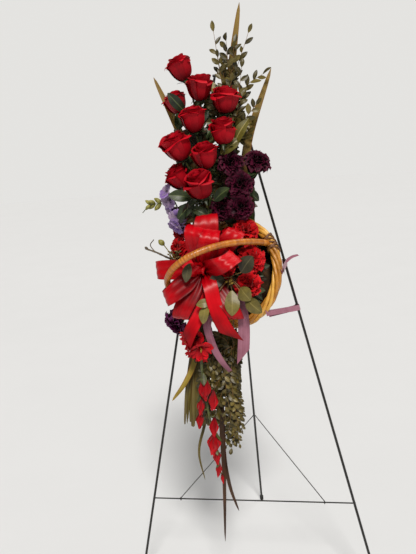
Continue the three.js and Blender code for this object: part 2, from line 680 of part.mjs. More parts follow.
// The carnations of each bunch of stems
const CARNATIONS = {
  dark_carnation_greens: [
    { name: "dark_carnation_1", at: [80, -2, 1109], face: [0.45, -0.5, 1] },
    { name: "dark_carnation_2", at: [17, -30, 1111], face: [0.1, -0.7, 1], size: 0.95 },
    { name: "dark_carnation_3", at: [38, -44, 1058], face: [0.35, -0.9, 0.6] },
    { name: "dark_carnation_4", at: [37, -58, 1002], face: [0.35, -1, 0.2], size: 0.95 },
    { name: "dark_carnation_5", at: [-14, -36, 1000], face: [-0.1, -1, 0.3], size: 0.9 },
  ],
  side_carnation_greens: [
    { name: "red_carnation_1", at: [-128, 28, 953], face: [-0.9, -0.4, 0.4], size: 0.9 },
    { name: "red_carnation_2", at: [-134, 0, 903], face: [-1, -0.5, 0.1], size: 0.92 },
    { name: "purple_flower", at: [-146, -54, 720], face: [-0.7, -0.4, -0.6], size: 1,
      by: [[-126, 30, 850], [-140, -10, 790]] },
  ],
  red_carnation_greens: [
    { name: "red_carnation_3", at: [43, -52, 948], face: [0.3, -0.8, 0.7], size: 0.95, by: [[8, -40, 884]] },
    { name: "red_carnation_4", at: [54, -80, 878], face: [0.5, -1, 0.1], by: [[12, -44, 862]] },
    { name: "red_carnation_5", at: [44, -92, 818], face: [0.4, -1, -0.3], size: 0.95, by: [[8, -48, 846]] },
    { name: "red_carnation_6", at: [-18, -68, 866], face: [-0.2, -1, 0.3] },
  ],
};

function carnations() {
  for (const [bunch, heads] of Object.entries(CARNATIONS)) {
    const root = pick(bunch);
    const parts = root.length > 1 ? [tube(root, STEM_RADIUS, 4, 2)] : [];
    heads.forEach(({ name, at, face, size = 1, by = [] }, i) => {
      const axis = v3(...face).normalize();
      const centre = v3(...at);
      solids.set(name, carnation(centre, axis, size, 0.7 * i));
      slots.set(name, name.replace(/_[0-9]$/, ""));
      const cup = centre.clone().addScaledVector(axis, -0.65 * CARNATION_RADIUS * size - 0.5);
      parts.push(lathe([[0, -13], [4, -12], [6.5, 0], [0, 0]], 5, standing(cup, axis)));
      const below = cup.clone().addScaledVector(axis, -12);
      parts.push(tube([root[root.length - 1], ...points3(by), below], STEM_RADIUS, 4, 2 + by.length));
    });
    greens(bunch, "stem_green", parts);
  }
}

// Long leaves

function longLeaf(name, slot, ways, facing, half, along, fold = 0.35) {
  const root = pick(name);
  const blades = ways.map((way) => (
    blade([...root, ...points3(way)], facing, swordWidth(half), along, fold, 1.1)
  ));
  greens(name, slot, blades);
}

function longLeaves() {
  const front = v3(0.15, -1, 0.1).normalize();
  const down = v3(-0.3, -0.95, 0).normalize();
  longLeaf("sword_leaf_centre", "sword_leaf", [
    [[6, 40, 1060], [18, 64, 1270], [58, 80, 1494]],
  ], front, 11, 6);
  longLeaf("sword_leaf_left", "sword_leaf", [
    [[-62, 50, 1040], [-115, 58, 1200], [-168, 62, 1338]],
  ], front, 9, 7);
  longLeaf("sword_leaf_right", "sword_leaf", [
    [[44, 22, 1030], [54, 38, 1140], [124, 58, 1325]],
  ], front, 10, 7);
  longLeaf("flax_leaf_olive", "flax_olive", [
    [[-98, -24, 690], [-106, -48, 626], [-132, -62, 576], [-167, -70, 534]],
  ], v3(-0.4, -0.9, 0.5).normalize(), 9, 8);
  longLeaf("flax_leaves_bronze", "flax_bronze", [
    [[-44, -36, 640], [-52, -34, 500], [-56, -40, 330], [-66, -50, 152]],
    [[-36, -30, 640], [-34, -24, 500], [-36, -36, 330], [-25, -50, 238]],
  ], down, 7, 6);
  longLeaf("bear_grass", "bear_grass", [
    [[-90, -2, 690], [-104, -8, 620], [-134, -24, 520], [-142, -28, 457]],
    [[-82, 0, 690], [-92, -4, 620], [-118, -14, 520], [-126, -18, 468]],
    [[-72, 2, 690], [-76, 0, 620], [-94, -10, 470], [-118, -24, 380], [-108, -28, 306]],
  ], down, 4.5, 5, 0);
}

// Leafy sprays

// A trunk from the foam to a knot, and leafy stems that spread from it
function leafySpray(name, trunk, knot, stemWays, { stemRadius, ...leafForm }) {
  const ways = stemWays.map((way) => [fromKnot(knot, v3(...way[0])), ...points3(way)]);
  const end = fromKnot(knot, trunk[trunk.length - 1]);
  greens(name, name, [
    wireKnot(knot), tube([...trunk, end], 1.8, 4, 4), ...ways.map((way) => tube(way, stemRadius, 3, 3)),
  ], ways.flatMap((way) => leafyTwig(way, leafForm)));
}

function sprays() {
  const front = v3(-0.1, -0.95, 0.25).normalize();
  leafySpray("ruscus", [...pick("ruscus"), v3(26, 24, 1060)], v3(26, 34, 1180), [
    [[6, 36, 1290], [-6, 32, 1424]],
    [[34, 38, 1300], [76, 42, 1412]],
    [[44, 32, 1250], [68, 30, 1290], [104, 32, 1310]],
    [[24, 44, 1280], [34, 48, 1340], [42, 50, 1392]],
    [[14, 22, 1260], [10, 20, 1340]],
  ], { stemRadius: 1.1, pairs: 5, length: 36, width: 18, facing: front, first: 0.26 });
  leafySpray("huckleberry", pick("huckleberry"), v3(-8, -40, 655), [
    [[-14, -36, 560], [-30, -30, 470], [-38, -26, 380]],
    [[10, -34, 580], [14, -26, 520], [14, -26, 466]],
    [[-34, -24, 580], [-54, -14, 500], [-58, -10, 436]],
    [[2, -14, 560], [-2, 0, 480], [-8, -2, 400]],
  ], { stemRadius: 1.2, pairs: 7, length: 33, width: 20, facing: front, first: 0.08 });

  const root = pick("eucalyptus");
  const node = v3(2, -118, 846);
  const broad = [
    [[30, -128, 858], [56, -138, 892], 17], [[-10, -122, 846], [-42, -128, 836], 14],
    [[6, -130, 818], [4, -146, 768], 15], [[26, -132, 824], [46, -148, 800], 15],
    [[36, -136, 800], [68, -154, 772], 14], [[-20, -116, 800], [-60, -124, 792], 10],
    [[-40, -112, 790], [-66, -124, 738], 12],
  ];
  const seeds = [[-13, -127, 795], [-8, -128, 787], [-14, -128, 782]];
  greens("eucalyptus", "eucalyptus", [
    wireKnot(node),
    tube([...root, fromKnot(node, root[0])], 1.6, 4, 1),
    ...broad.map(([from]) => tube([fromKnot(node, v3(...from)), v3(...from)], 1, 3, 1)),
    tube([fromKnot(node, v3(-8, -122, 820)), v3(-10, -127, 786)], 1, 3, 1),
    ...seeds.map((at) => (
      solidOf(new THREE.OctahedronGeometry(5.5), new THREE.Matrix4().setPosition(...at))
    )),
  ], broad.map(([from, to, half]) => broadLeaf(v3(...from), v3(...to), half, front)));
}

// Trumpets and buds set along a stalk: each is given by its tip, and starts from the stalk
function floretsOn(stalk, stalkRadius, trumpets, buds, lobes) {
  const grow = (tip) => {
    const base = nearestOn([stalk], v3(...tip));
    const axis = v3(...tip).sub(base).normalize();
    base.addScaledVector(axis, -1.5);
    return { base, axis, length: base.distanceTo(v3(...tip)) };
  };
  return mainBody(join([
    tube(stalk, stalkRadius, 4, stalk.length + 1),
    ...trumpets.map(([tip, mouth], i) => {
      const { base, axis, length } = grow(tip);
      return trumpet(base, axis, { length, mouth, lobes, spin: 0.6 * i });
    }),
    ...buds.map(([from, tip, radius]) => {
      const base = nearestOn([stalk], v3(...from));
      const way = v3(...tip).sub(base);
      return bud(base, way.clone().normalize(), way.length(), radius, 4);
    }),
  ]));
}

function freesias() {
  const stem = [...pick("freesia_greens"), ...points3([
    [-98, 18, 938], [-106, 8, 962], [-112, 4, 985], [-140, 2, 1014],
    [-170, -4, 1021], [-192, -8, 1020], [-212, -12, 1002],
  ])];
  const stalk = [
    nearestOn([stem], v3(-106, 4, 960)),
    ...points3([[-116, -8, 978], [-124, -8, 1010], [-136, -10, 1040]]),
  ];
  const mouths = [
    [-154, -28, 1056], [-146, -34, 1026], [-154, -24, 1000], [-122, -42, 984], [-136, -34, 957],
  ];
  solids.set("freesia_flowers", floretsOn(stalk, 2.6, mouths.map((tip) => [tip, 18]), [], 4));
  slots.set("freesia_flowers", "freesia");
  const budPlaces = [
    [-164, -3, 1020], [-178, -6, 1021], [-190, -8, 1020], [-202, -10, 1012], [-211, -12, 1004],
  ];
  const buds = budPlaces.map((place, i) => {
    const way = v3(-0.8, -0.2, i % 2 ? -0.5 : 0.7).normalize();
    return bud(v3(...place), way, 22 - 2 * i, 4.6 - 0.5 * i, 4);
  });
  greens("freesia_greens", "bud_green", [tube(stem, 1.6, 3, 10), ...buds]);

  const twig = points3([[-138, 26, 868], [-158, -6, 884], [-186, -18, 902], [-214, -20, 914]]);
  greens("twig", "twig", [
    tube([...pick("twig"), ...twig], 1.9, 3, 7),
    tube(points3([[-188, -18, 903], [-198, -19, 921], [-188, -19, 934]]), 1.3, 4, 2),
    bud(v3(-170, -12, 892), v3(-0.2, -0.3, 1).normalize(), 30, 5.5),
    bud(v3(-204, -20, 911), v3(-0.8, 0, 0.5).normalize(), 13, 3.4),
  ]);
}

function gladioli() {
  const spine = points3([
    [-66, -78, 716], [-84, -78, 640], [-84, -66, 540], [-74, -58, 440], [-68, -46, 330],
  ]);
  const stem = tube([...pick("gladiolus_greens"), v3(-62, -56, 740), spine[0]], 2.6, 4, 5);
  greens("gladiolus_greens", "stem_green", [stem]);
  const trumpets = [[[-82, -112, 652], 32], [[-136, -82, 668], 27], [[-112, -92, 590], 20]];
  const buds = [
    [[-84, -72, 590], [-90, -78, 522], 13], [[-84, -64, 520], [-100, -66, 462], 10],
    [[-76, -60, 465], [-86, -52, 412], 9], [[-74, -58, 440], [-56, -62, 386], 11],
    [[-70, -52, 390], [-68, -60, 336], 10], [[-68, -48, 340], [-64, -42, 300], 8],
  ];
  solids.set("gladiolus_flowers", floretsOn(spine, 4, trumpets, buds, 5));
  slots.set("gladiolus_flowers", "gladiolus");
}

// Ribbons

const BOW_KNOT = v3(-59, -94, 866);
const BOW_KNOT_RADIUS = 16;
// Each loop: its far end, its half width, and how far its two layers stand apart
const LOOPS = [
  { end: [-40, -52, 990], half: 24, open: 26 }, { end: [-92, -46, 962], half: 22, open: 24 },
  { end: [-112, -92, 920], half: 21, open: 26 }, { end: [22, -88, 956], half: 22, open: 24 },
  { end: [20, -146, 898], half: 20, open: 30 }, { end: [-150, -134, 803], half: 23, open: 24 },
  { end: [-184, -22, 856], half: 24, open: 20 }, { end: [-120, -112, 750], half: 22, open: 26 },
  { end: [12, -134, 752], half: 21, open: 24 },
];
const TAILS = [
  { way: [[-50, -124, 824], [-28, -150, 786], [-6, -158, 744], [14, -146, 698]], half: 21 },
  { way: [[-78, -118, 816], [-100, -132, 758], [-112, -134, 690]], half: 20 },
];

function bow() {
  const loops = LOOPS.map(({ end, half, open }) => {
    const way = v3(...end).sub(BOW_KNOT);
    const side = way.clone().cross(n).normalize();
    const up = side.clone().cross(way).normalize();
    const at = (a, lift) => BOW_KNOT.clone().addScaledVector(way, a).addScaledVector(up, lift * open);
    const inKnot = (0.75 * BOW_KNOT_RADIUS) / way.length();
    const points = [
      at(inKnot, 0.1), at(0.4, 0.55), at(0.8, 0.6), at(1, 0.08),
      at(0.82, -0.42), at(0.4, -0.38), at(inKnot, -0.12),
    ];
    return ribbon(points, side, (a) => half * (0.22 + 0.78 * Math.sin(Math.PI * a) ** 0.6), 6);
  });
  const tails = TAILS.map(({ way, half }) => {
    const first = BOW_KNOT.clone().lerp(v3(...way[0]), 0.25);
    const points = [first, ...points3(way)];
    const side = points[points.length - 1].clone().sub(points[0]).cross(n).normalize();
    return ribbon(points, side, (a) => half * (0.25 + 0.75 * Math.min(1, 3 * a)) * (a > 0.97 ? 0.45 : 1), 5);
  });
  const centre = new THREE.Matrix4().setPosition(BOW_KNOT);
  const knot = solidOf(new THREE.SphereGeometry(BOW_KNOT_RADIUS, 7, 5), centre);
  greens("bow", "red_ribbon", [knot, tube([...pick("bow"), BOW_KNOT], 1.6, 4, 1), ...loops, ...tails]);
}

function mauveRibbons() {
  const root = pick("ribbon_tails");
  const side = v3(0.9, -0.4, 0).normalize();
  const right = [[14, -102, 800], [24, -118, 784], [26, -112, 731], [16, -100, 632]];
  const left = [[-20, -98, 772], [-58, -106, 742], [-53, -105, 690], [-33, -95, 639], [-13, -85, 608]];
  greens("ribbon_tails", "mauve_ribbon", [
    ribbon([...root, ...points3(right)], side, (a) => 5 + 9 * Math.min(1, 3 * a), 7),
    ribbon([...root, ...points3(left)], side, (a) => 4 + 7 * Math.min(1, 2 * a), 7),
  ]);
}

// The ribbon that ties the basket's rim to the right leg: a strap at the handle's height, one
// lower down, a stretch behind the leg between them and a loose end
function ribbonTie() {
  const off = LEG_RADIUS + 1.6;
  const upright = onFrontLeg(1, 1).sub(onFrontLeg(1, 0)).normalize();
  const rimAt = (turn, out) => {
    const reach = RIM_RADIUS + RIM_THICK + 1.2;
    return inBasket(reach * Math.cos(turn), reach * Math.sin(turn), out);
  };
  const strap = (z, turn) => {
    const at = onFrontLeg(1, z);
    const round = [[off, -off], [off, off * 0.6], [0, off * 1.2], [-off, off * 0.6], [-off, -off]];
    const turns = round.map(([x, y]) => at.clone().add(v3(x, y, 0)));
    const points = [rimAt(turn, 6), ...turns, rimAt(turn - 0.02, -8)];
    return ribbon(points, upright, () => 6.5, 10);
  };
  const behind = (z) => onFrontLeg(1, z).add(v3(0, off * 1.2, 0));
  const between = ribbon([behind(846), behind(724)], v3(1, 0, 0.2), () => 3.4, 1);
  const beside = onFrontLeg(1, 843).add(v3(off, 0, 2));
  const loose = ribbon([beside, beside.clone().add(v3(14, 4, 9)), beside.clone().add(v3(32, 8, 13))],
    v3(0, 0.2, 1), (a) => 5.5 - 3.5 * a, 2);
  return join([strap(843, 0.06), strap(727, -0.7), between, loose]);
}

// Clearing: stems come first, then blooms, then leaves, and each is cut clear of what is there

function overlaps(a, b) {
  return [0, 1, 2].every((i) => a.min[i] <= b.max[i] && b.min[i] <= a.max[i]);
}

function clearOf(solid, others) {
  const box = solid.boundingBox();
  let left = solid;
  for (const { clear, body, box: around } of others) {
    if (overlaps(box, around) && !left.intersect(clear).isEmpty()) {
      left = left.subtract(clear).subtract(body);
    }
  }
  return left;
}

const obstacle = (name, body) => {
  const clear = grown(body, 0.45);
  return { name, body, clear, box: clear.boundingBox() };
};

easel();
basket();
const rigid = [...solids].map(([name, solid]) => obstacle(name, solid));
roses();
carnations();
longLeaves();
sprays();
freesias();
gladioli();
bow();
mauveRibbons();
cores.set("ribbon_tie", ribbonTie());
leaves.set("ribbon_tie", []);
slots.set("ribbon_tie", "mauve_ribbon");

const stems = [];
for (const [name, core] of cores) {
  const cleared = mainBody(clearOf(core, [...rigid, ...stems]));
  solids.set(name, cleared);
  stems.push(obstacle(name, cleared));
}
const heads = [];
for (const [name, solid] of solids) {
  const isRigid = rigid.some((one) => one.name === name);
  if (isRigid || cores.has(name)) continue;
  const cleared = mainBody(clearOf(solid, [...rigid, ...stems, ...heads]));
  solids.set(name, cleared);
  heads.push(obstacle(name, cleared));
}
const foliage = [];
for (const [name, leafSolids] of leaves) {
  if (leafSolids.length === 0) continue;
  const own = new Set([name]);
  const around = [...rigid, ...stems, ...heads, ...foliage].filter((one) => !own.has(one.name));
  const cut = leafSolids.map((leaf) => clearOf(leaf, around));
  const whole = mainBody(join([solids.get(name), ...cut]));
  solids.set(name, whole);
  foliage.push(obstacle(name, whole));
}
add("foam", "foam", mainBody(foamBlock().subtract(join([...picks.values()].map((one) => one.hole)))));

// Materials

const MATERIALS = {
  wire: [0x1c1b1a, 0.5, 0.6], rubber: [0x141414, 0.8, 0], willow: [0xc8903c, 0.6, 0],
  willow_dark: [0x6b3d18, 0.7, 0], liner: [0x2a201a, 0.4, 0], foam: [0x2f4a2c, 0.95, 0],
  rose_petal: [0xa80f22, 0.55, 0], rose_green: [0x3c4a2a, 0.6, 0],
  dark_carnation: [0x3f0c24, 0.7, 0], purple_flower: [0x4a1a4a, 0.7, 0], red_carnation: [0xb8101c, 0.7, 0],
  stem_green: [0x4c5a2c, 0.6, 0], sword_leaf: [0x8a6f2c, 0.5, 0], flax_olive: [0x7d6a2a, 0.5, 0],
  flax_bronze: [0x4c2c1c, 0.5, 0], bear_grass: [0x4f4a2a, 0.6, 0], ruscus: [0x3a381f, 0.5, 0],
  huckleberry: [0x4d4722, 0.55, 0], eucalyptus: [0x6f6a3c, 0.6, 0], freesia: [0x7a5aa0, 0.5, 0],
  bud_green: [0x6d6a2a, 0.6, 0], twig: [0x4a4232, 0.8, 0], gladiolus: [0xb3101a, 0.5, 0],
  red_ribbon: [0xc8101c, 0.3, 0], mauve_ribbon: [0xa8707e, 0.35, 0],
};

const group = new THREE.Group();
group.position.y = -ORIGIN_Y;
for (const [name, solid] of solids) {
  const [color, roughness, metalness] = MATERIALS[slots.get(name)];
  const material = new THREE.MeshStandardMaterial({ color, roughness, metalness });
  const mesh = new THREE.Mesh(geometryOf(mainBody(solid.simplify(0.05))), material);
  mesh.name = name;
  group.add(mesh);
}

export default group;
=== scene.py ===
# Standing funeral spray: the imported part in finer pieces, with materials, light and a camera.
# Points are written in millimetres of the part's layout, where y = 0 runs through the two front
# feet, and are put in the row frame by placed().
import math

import bpy
import numpy as np
from mathutils import Matrix


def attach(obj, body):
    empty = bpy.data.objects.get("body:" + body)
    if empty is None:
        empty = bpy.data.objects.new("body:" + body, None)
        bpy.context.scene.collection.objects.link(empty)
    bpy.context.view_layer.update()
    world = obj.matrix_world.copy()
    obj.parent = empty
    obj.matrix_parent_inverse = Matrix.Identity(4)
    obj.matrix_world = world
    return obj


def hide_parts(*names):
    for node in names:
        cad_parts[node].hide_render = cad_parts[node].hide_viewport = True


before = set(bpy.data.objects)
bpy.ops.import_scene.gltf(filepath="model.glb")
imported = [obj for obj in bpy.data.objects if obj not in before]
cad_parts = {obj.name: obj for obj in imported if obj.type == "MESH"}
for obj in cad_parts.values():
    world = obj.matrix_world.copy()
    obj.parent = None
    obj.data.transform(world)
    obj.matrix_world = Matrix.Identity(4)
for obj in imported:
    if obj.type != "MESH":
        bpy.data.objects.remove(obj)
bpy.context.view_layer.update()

ORIGIN_Y = 130
LEG_RADIUS = 3.25
FOOT_HALF_SPAN = 308
APEX = np.array([0, 131, 1333.0])
APEX_HALF_SPAN = 20
BASKET_CENTRE = np.array([1, 5.5, 835])
BASKET_TURN = math.radians(-32)
BASKET_TIP = math.radians(15)
RIM_RADIUS = 126
RIM_THICK = 14
WALL_RADIUS = 129
BASKET_DEPTH = 80
BASKET_FLOOR_RADIUS = 57
HANDLE_HEIGHT = 214
HANDLE_RADIUS = 7.5
HANDLE_TURN = math.radians(37)
FOAM_ABOVE_RIM = 24
FOAM_RADIUS = 80
ROSE_RADIUS = 33
ROSE_HEIGHT = 68
CARNATION_RADIUS = 31
RIM_RODS = 5
RIM_TWISTS = 4
WEAVERS = 12
WEAVER_RADIUS = 3.1
STAKES = 22
STAKE_RADIUS = 2.1
FLOOR_COILS = 8
HANDLE_FOOT = 7.7
REED_WIDTH = 7.5
LASHINGS = 11
LASHING_REACH = 13.6
SIDE_VEINS = 9


def unit(v):
    v = np.asarray(v, float)
    return v / max(np.linalg.norm(v), 1e-9)


# Basket frame: across the mouth, up it, and out of it
OUT = np.array([
    math.sin(BASKET_TURN) * math.cos(BASKET_TIP),
    -math.cos(BASKET_TURN) * math.cos(BASKET_TIP),
    math.sin(BASKET_TIP),
])
ACROSS = unit(np.cross((0, 0, 1), OUT))
UP = np.cross(OUT, ACROSS)


def in_basket(right, up, out):
    """Points given across, up and out of the basket's mouth."""
    parts = [np.multiply.outer(np.asarray(value, float), axis)
             for value, axis in ((right, ACROSS), (up, UP), (out, OUT))]
    return BASKET_CENTRE + sum(parts)


def round_basket(radius, turn, out):
    """Points given by their radius and angle in the basket's mouth, and how far they are out of it."""
    return in_basket(radius * np.cos(turn), radius * np.sin(turn), out)


def curve(points, count):
    """count points along a smooth curve through the given ones."""
    points = np.array(points, float)
    padded = np.vstack([2 * points[0] - points[1], points, 2 * points[-1] - points[-2]])
    out = []
    for t in np.linspace(0, len(points) - 1, count):
        i = min(int(t), len(points) - 2)
        w = t - i
        a, b, c, d = padded[i:i + 4]
        ab, bc, cd = (max(np.linalg.norm(q - p), 1e-6) ** 0.5 for p, q in ((a, b), (b, c), (c, d)))
        start = ((b - a) / ab - (c - a) / (ab + bc) + (c - b) / bc) * bc
        end = ((c - b) / bc - (d - b) / (bc + cd) + (d - c) / cd) * bc
        out.append((2 * w**3 - 3 * w**2 + 1) * b + (w**3 - 2 * w**2 + w) * start
                   + (3 * w**2 - 2 * w**3) * c + (w**3 - w**2) * end)
    return np.array(out)


def tangents(path):
    way = np.gradient(path, axis=0)
    return way / np.maximum(np.linalg.norm(way, axis=1, keepdims=True), 1e-9)


def axes_for(axis, spin=0.0):
    """Two directions square to an axis, turned about it by spin."""
    axis = unit(axis)
    x = unit(np.cross((0, 1, 0) if abs(axis[1]) < 0.9 else (1, 0, 0), axis))
    y = np.cross(axis, x)
    return x * math.cos(spin) + y * math.sin(spin), y * math.cos(spin) - x * math.sin(spin), axis


def outward(x, y, angle):
    """The direction at an angle from x towards y, or one for each angle of an array."""
    return np.multiply.outer(np.cos(angle), x) + np.multiply.outer(np.sin(angle), y)


def round_axis(centre, axes, radius, angle, height):
    """Points given by arrays of their radius, angle and height about the last of three axes."""
    x, y, z = axes
    return centre + height[..., None] * z + radius[..., None] * outward(x, y, angle)


def blend_in(t, low, high):
    """0 below low, 1 above high, smooth between."""
    w = np.clip((np.asarray(t, float) - low) / (high - low), 0, 1)
    return w * w * (3 - 2 * w)


def add_object(name, data):
    thing = bpy.data.objects.new(name, data)
    bpy.context.scene.collection.objects.link(thing)
    return thing


class Form:
    """The surfaces of one piece. Each point also keeps how far it is along and across its
    petal, leaf or strand, and one tint for the whole of that petal, leaf or strand."""

    def __init__(self):
        self.points = []
        self.marks = []
        self.faces = []
        self.finishes = []
        self.count = 0

    def grid(self, points, finish=0, tint=0.5, closed=False):
        """Quads over rows and columns of points; closed joins the last column to the first."""
        rows, columns = points.shape[:2]
        along, across = np.meshgrid(np.linspace(0, 1, rows), np.linspace(-1, 1, columns), indexing="ij")
        marks = np.stack([along, across, np.full_like(along, tint)], axis=-1)
        index = self.count + np.arange(rows * columns).reshape(rows, columns)
        if closed:
            index = np.hstack([index, index[:, :1]])
        quads = np.stack([index[:-1, :-1], index[:-1, 1:], index[1:, 1:], index[1:, :-1]], axis=-1)
        self.points.append(points.reshape(-1, 3))
        self.marks.append(marks.reshape(-1, 3))
        self.faces += quads.reshape(-1, 4).tolist()
        self.finishes += [finish] * (quads.size // 4)
        self.count += rows * columns
        return index

    def tube(self, path, radius, sides=6, finish=0, tint=0.5, profile=None):
        """A round tube along a path, closed at its ends; profile scales the radius round and along it."""
        path = np.asarray(path, float)
        radius = np.broadcast_to(np.asarray(radius, float), (len(path),))
        way = tangents(path)
        normal = axes_for(way[0])[0]
        turn = np.linspace(0, 2 * math.pi, sides, endpoint=False)
        rings = []
        for i, (centre, direction) in enumerate(zip(path, way)):
            normal = unit(normal - direction * (normal @ direction))
            other = np.cross(direction, normal)
            size = radius[i] * (np.ones(sides) if profile is None else profile[i])
            rings.append(centre + size[:, None] * outward(normal, other, turn))
        index = self.grid(np.array(rings), finish, tint, closed=True)
        self.faces += [index[0, :-1][::-1].tolist(), index[-1, :-1].tolist()]
        self.finishes += [finish] * 2

    def stem(self, way, count, radius, sides=6, finish=0, tint=0.5):
        """A tube along a smooth curve of count points through the ones of way."""
        self.tube(curve(way, count), radius, sides, finish, tint)

    def leaf(self, spine, facing, half, fold=0.25, columns=6, finish=0, tint=0.5, wave=0.0):
        """A blade along a spine: half is its half width at each point, fold lifts its edges and
        wave ruffles them."""
        way = tangents(spine)
        side = np.cross(way, np.asarray(facing, float))
        side /= np.maximum(np.linalg.norm(side, axis=1, keepdims=True), 1e-9)
        up = np.cross(side, way)
        s = np.linspace(-1, 1, columns + 1)
        half = np.asarray(half, float)[:, None]
        along = np.linspace(0, 1, len(spine))[:, None]
        lift = half * (fold * np.abs(s) + wave * np.sin(9 * along + 2 * s + 7 * tint) * s**2)
        points = spine[:, None] + side[:, None] * (half * s)[..., None] + up[:, None] * lift[..., None]
        self.grid(points, finish, tint)

    def piece(self, name, materials, replaces=(), slot=None, body="front_frame"):
        """Makes the Blender object: its materials, the nodes it replaces and its body. Its slot is not used.
        """
        mesh = bpy.data.meshes.new(name)
        mesh.from_pydata(placed(np.vstack(self.points)).tolist(), [], self.faces)
        mark = mesh.attributes.new("form", "FLOAT_VECTOR", "POINT")
        mark.data.foreach_set("vector", np.vstack(self.marks).ravel())
        for material in materials:
            mesh.materials.append(material)
        mesh.polygons.foreach_set("material_index", self.finishes)
        mesh.polygons.foreach_set("use_smooth", [True] * len(mesh.polygons))
        mesh.update()
        piece = add_object(name, mesh)
        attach(piece, body)
        if replaces:
            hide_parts(*replaces)
        return piece


def placed(points):
    """Millimetres of the layout to metres of the row frame."""
    return (np.asarray(points, float) - (0, ORIGIN_Y, 0)) / 1000


# Materials

def rgb(r, g, b):
    """A colour of the picture, 0 to 255, as linear light."""
    return tuple((c / 255 / 12.92) if c <= 10 else ((c / 255 + 0.055) / 1.055) ** 2.4 for c in (r, g, b))


class Finish:
    """A material's node tree, built by short calls. Colours are given as in the picture."""

    def __init__(self, name, roughness=0.5, **constants):
        self.material = bpy.data.materials.new(name)
        self.material.use_nodes = True
        self.nodes = self.material.node_tree.nodes
        self.links = self.material.node_tree.links
        self.shader = self.nodes["Principled BSDF"]
        self.shader.inputs["Roughness"].default_value = roughness
        for key, value in constants.items():
            self.shader.inputs[key.replace("_", " ")].default_value = value
        mark = self.node("Attribute")
        mark.attribute_name = "form"
        self.form = mark.outputs["Vector"]
        self.along, self.across, self.tint = self.node("SeparateXYZ", Vector=self.form).outputs
        self.place = self.node("TexCoord").outputs["Object"]

    def node(self, kind, **inputs):
        """A new node with its inputs set or linked."""
        node = self.nodes.new("ShaderNode" + kind)
        for key, value in inputs.items():
            self.put(node.inputs[key], value)
        return node

    def put(self, socket, value):
        if isinstance(value, bpy.types.NodeSocket):
            self.links.new(value, socket)
        else:
            socket.default_value = value

    def math(self, operation, a, b=0.0):
        node = self.node("Math")
        node.operation = operation
        self.put(node.inputs[0], a)
        self.put(node.inputs[1], b)
        return node.outputs[0]

    def total(self, start, *terms):
        """start with each value times its weight added to it."""
        for value, weight in terms:
            start = self.math("ADD", start, self.math("MULTIPLY", value, weight))
        return start

    def off_middle(self):
        """0 along the middle line of a leaf or ribbon, 1 at its edges."""
        return self.math("ABSOLUTE", self.across)

    def noise(self, scale, detail=3.0, where=None, stretch=(1, 1, 1)):
        spot = self.node("Mapping", Scale=stretch, Vector=where or self.place).outputs[0]
        node = self.node("TexNoise", Vector=spot, Scale=scale, Detail=detail, Roughness=0.55)
        return node.outputs["Fac"]

    def weave(self):
        """The fine cross threads of a ribbon."""
        node = self.node("TexWave", Vector=self.place, Scale=900, Distortion=0.4)
        node.bands_direction = "Z"
        return node.outputs["Fac"]

    def ramp(self, value, stops):
        node = self.node("ValToRGB", Fac=value)
        ramp = node.color_ramp
        while len(ramp.elements) < len(stops):
            ramp.elements.new(1.0)
        for element, (at, colour) in zip(ramp.elements, stops):
            element.position = at
            element.color = (*colour, 1)
        return node.outputs["Color"]

    def tones(self, value, *stops):
        """Colours spread over a value: each stop is a place and the colour there."""
        return self.ramp(value, [(at, rgb(*colour)) for at, colour in stops])

    def mask(self, value, *stops):
        """A grey level spread over a value, to mix by."""
        return self.ramp(value, [(at, (level, level, level)) for at, level in stops])

    def mix(self, amount, under, colour):
        node = self.node("Mix", Factor=amount)
        node.data_type = "RGBA"
        self.put(node.inputs[6], under)
        self.put(node.inputs[7], (*rgb(*colour), 1))
        return node.outputs[2]

    def colour(self, value):
        self.put(self.shader.inputs["Base Color"], value)

    def bump(self, height, strength=0.4, distance=0.001):
        node = self.node("Bump", Strength=strength, Distance=distance, Height=height)
        self.links.new(node.outputs[0], self.shader.inputs["Normal"])


def petal_finish(name, deep, body, light, edge, veins=26, sheen=0.1):
    """Petal colour from foot to lip, with fine veins that run up it. In the roses, carnations,
    gladioli and purple flower it is darker at the foot, painted shade deep in the bloom, and lighter
    at the lip, a painted highlight on the lit rim; the freesia's pale foot is its real throat.
    """
    f = Finish(name, 0.6, Sheen_Weight=sheen, Sheen_Roughness=0.4, Specular_IOR_Level=0.18)
    blotch = f.noise(70, 4)
    vein = f.noise(veins, 2, f.form, (0.15, 1, 1))
    shade = f.total(-0.375, (f.along, 1), (blotch, 0.5), (vein, 0.25))
    # Along the petal: painted shade at the foot and a painted highlight at the lip, except the freesia's
    # real pale throat.
    tissue = f.tones(shade, (0.0, deep), (0.35, body), (0.8, light), (1.0, edge))
    f.colour(f.mix(f.math("MULTIPLY", f.tint, 0.55), tissue, deep))
    f.bump(f.total(vein, (blotch, 0.6)), 0.35, 0.0006)
    return f.material


def leaf_finish(name, dark, body, light, rib, roughness=0.42, rib_width=0.07):
    """Leaf tissue: a pale midrib, slanting side veins and darker patches."""
    f = Finish(name, roughness, Specular_IOR_Level=0.4)
    patch = f.noise(60, 5)
    off_rib = f.off_middle()
    slant = f.total(f.along, (off_rib, -0.18))
    ripple = f.math("SINE", f.math("MULTIPLY", slant, SIDE_VEINS * math.pi))
    side_vein = f.math("POWER", f.math("ABSOLUTE", ripple), 0.35)
    shade = f.total(0, (patch, 0.8), (f.tint, 0.45), (side_vein, -0.07))
    tissue = f.tones(shade, (0.25, dark), (0.6, body), (0.95, light))
    f.colour(f.mix(f.mask(off_rib, (rib_width * 0.5, 1), (rib_width * 1.6, 0)), tissue, rib))
    f.bump(f.total(patch, (side_vein, 0.4)), 0.3, 0.0006)
    return f.material


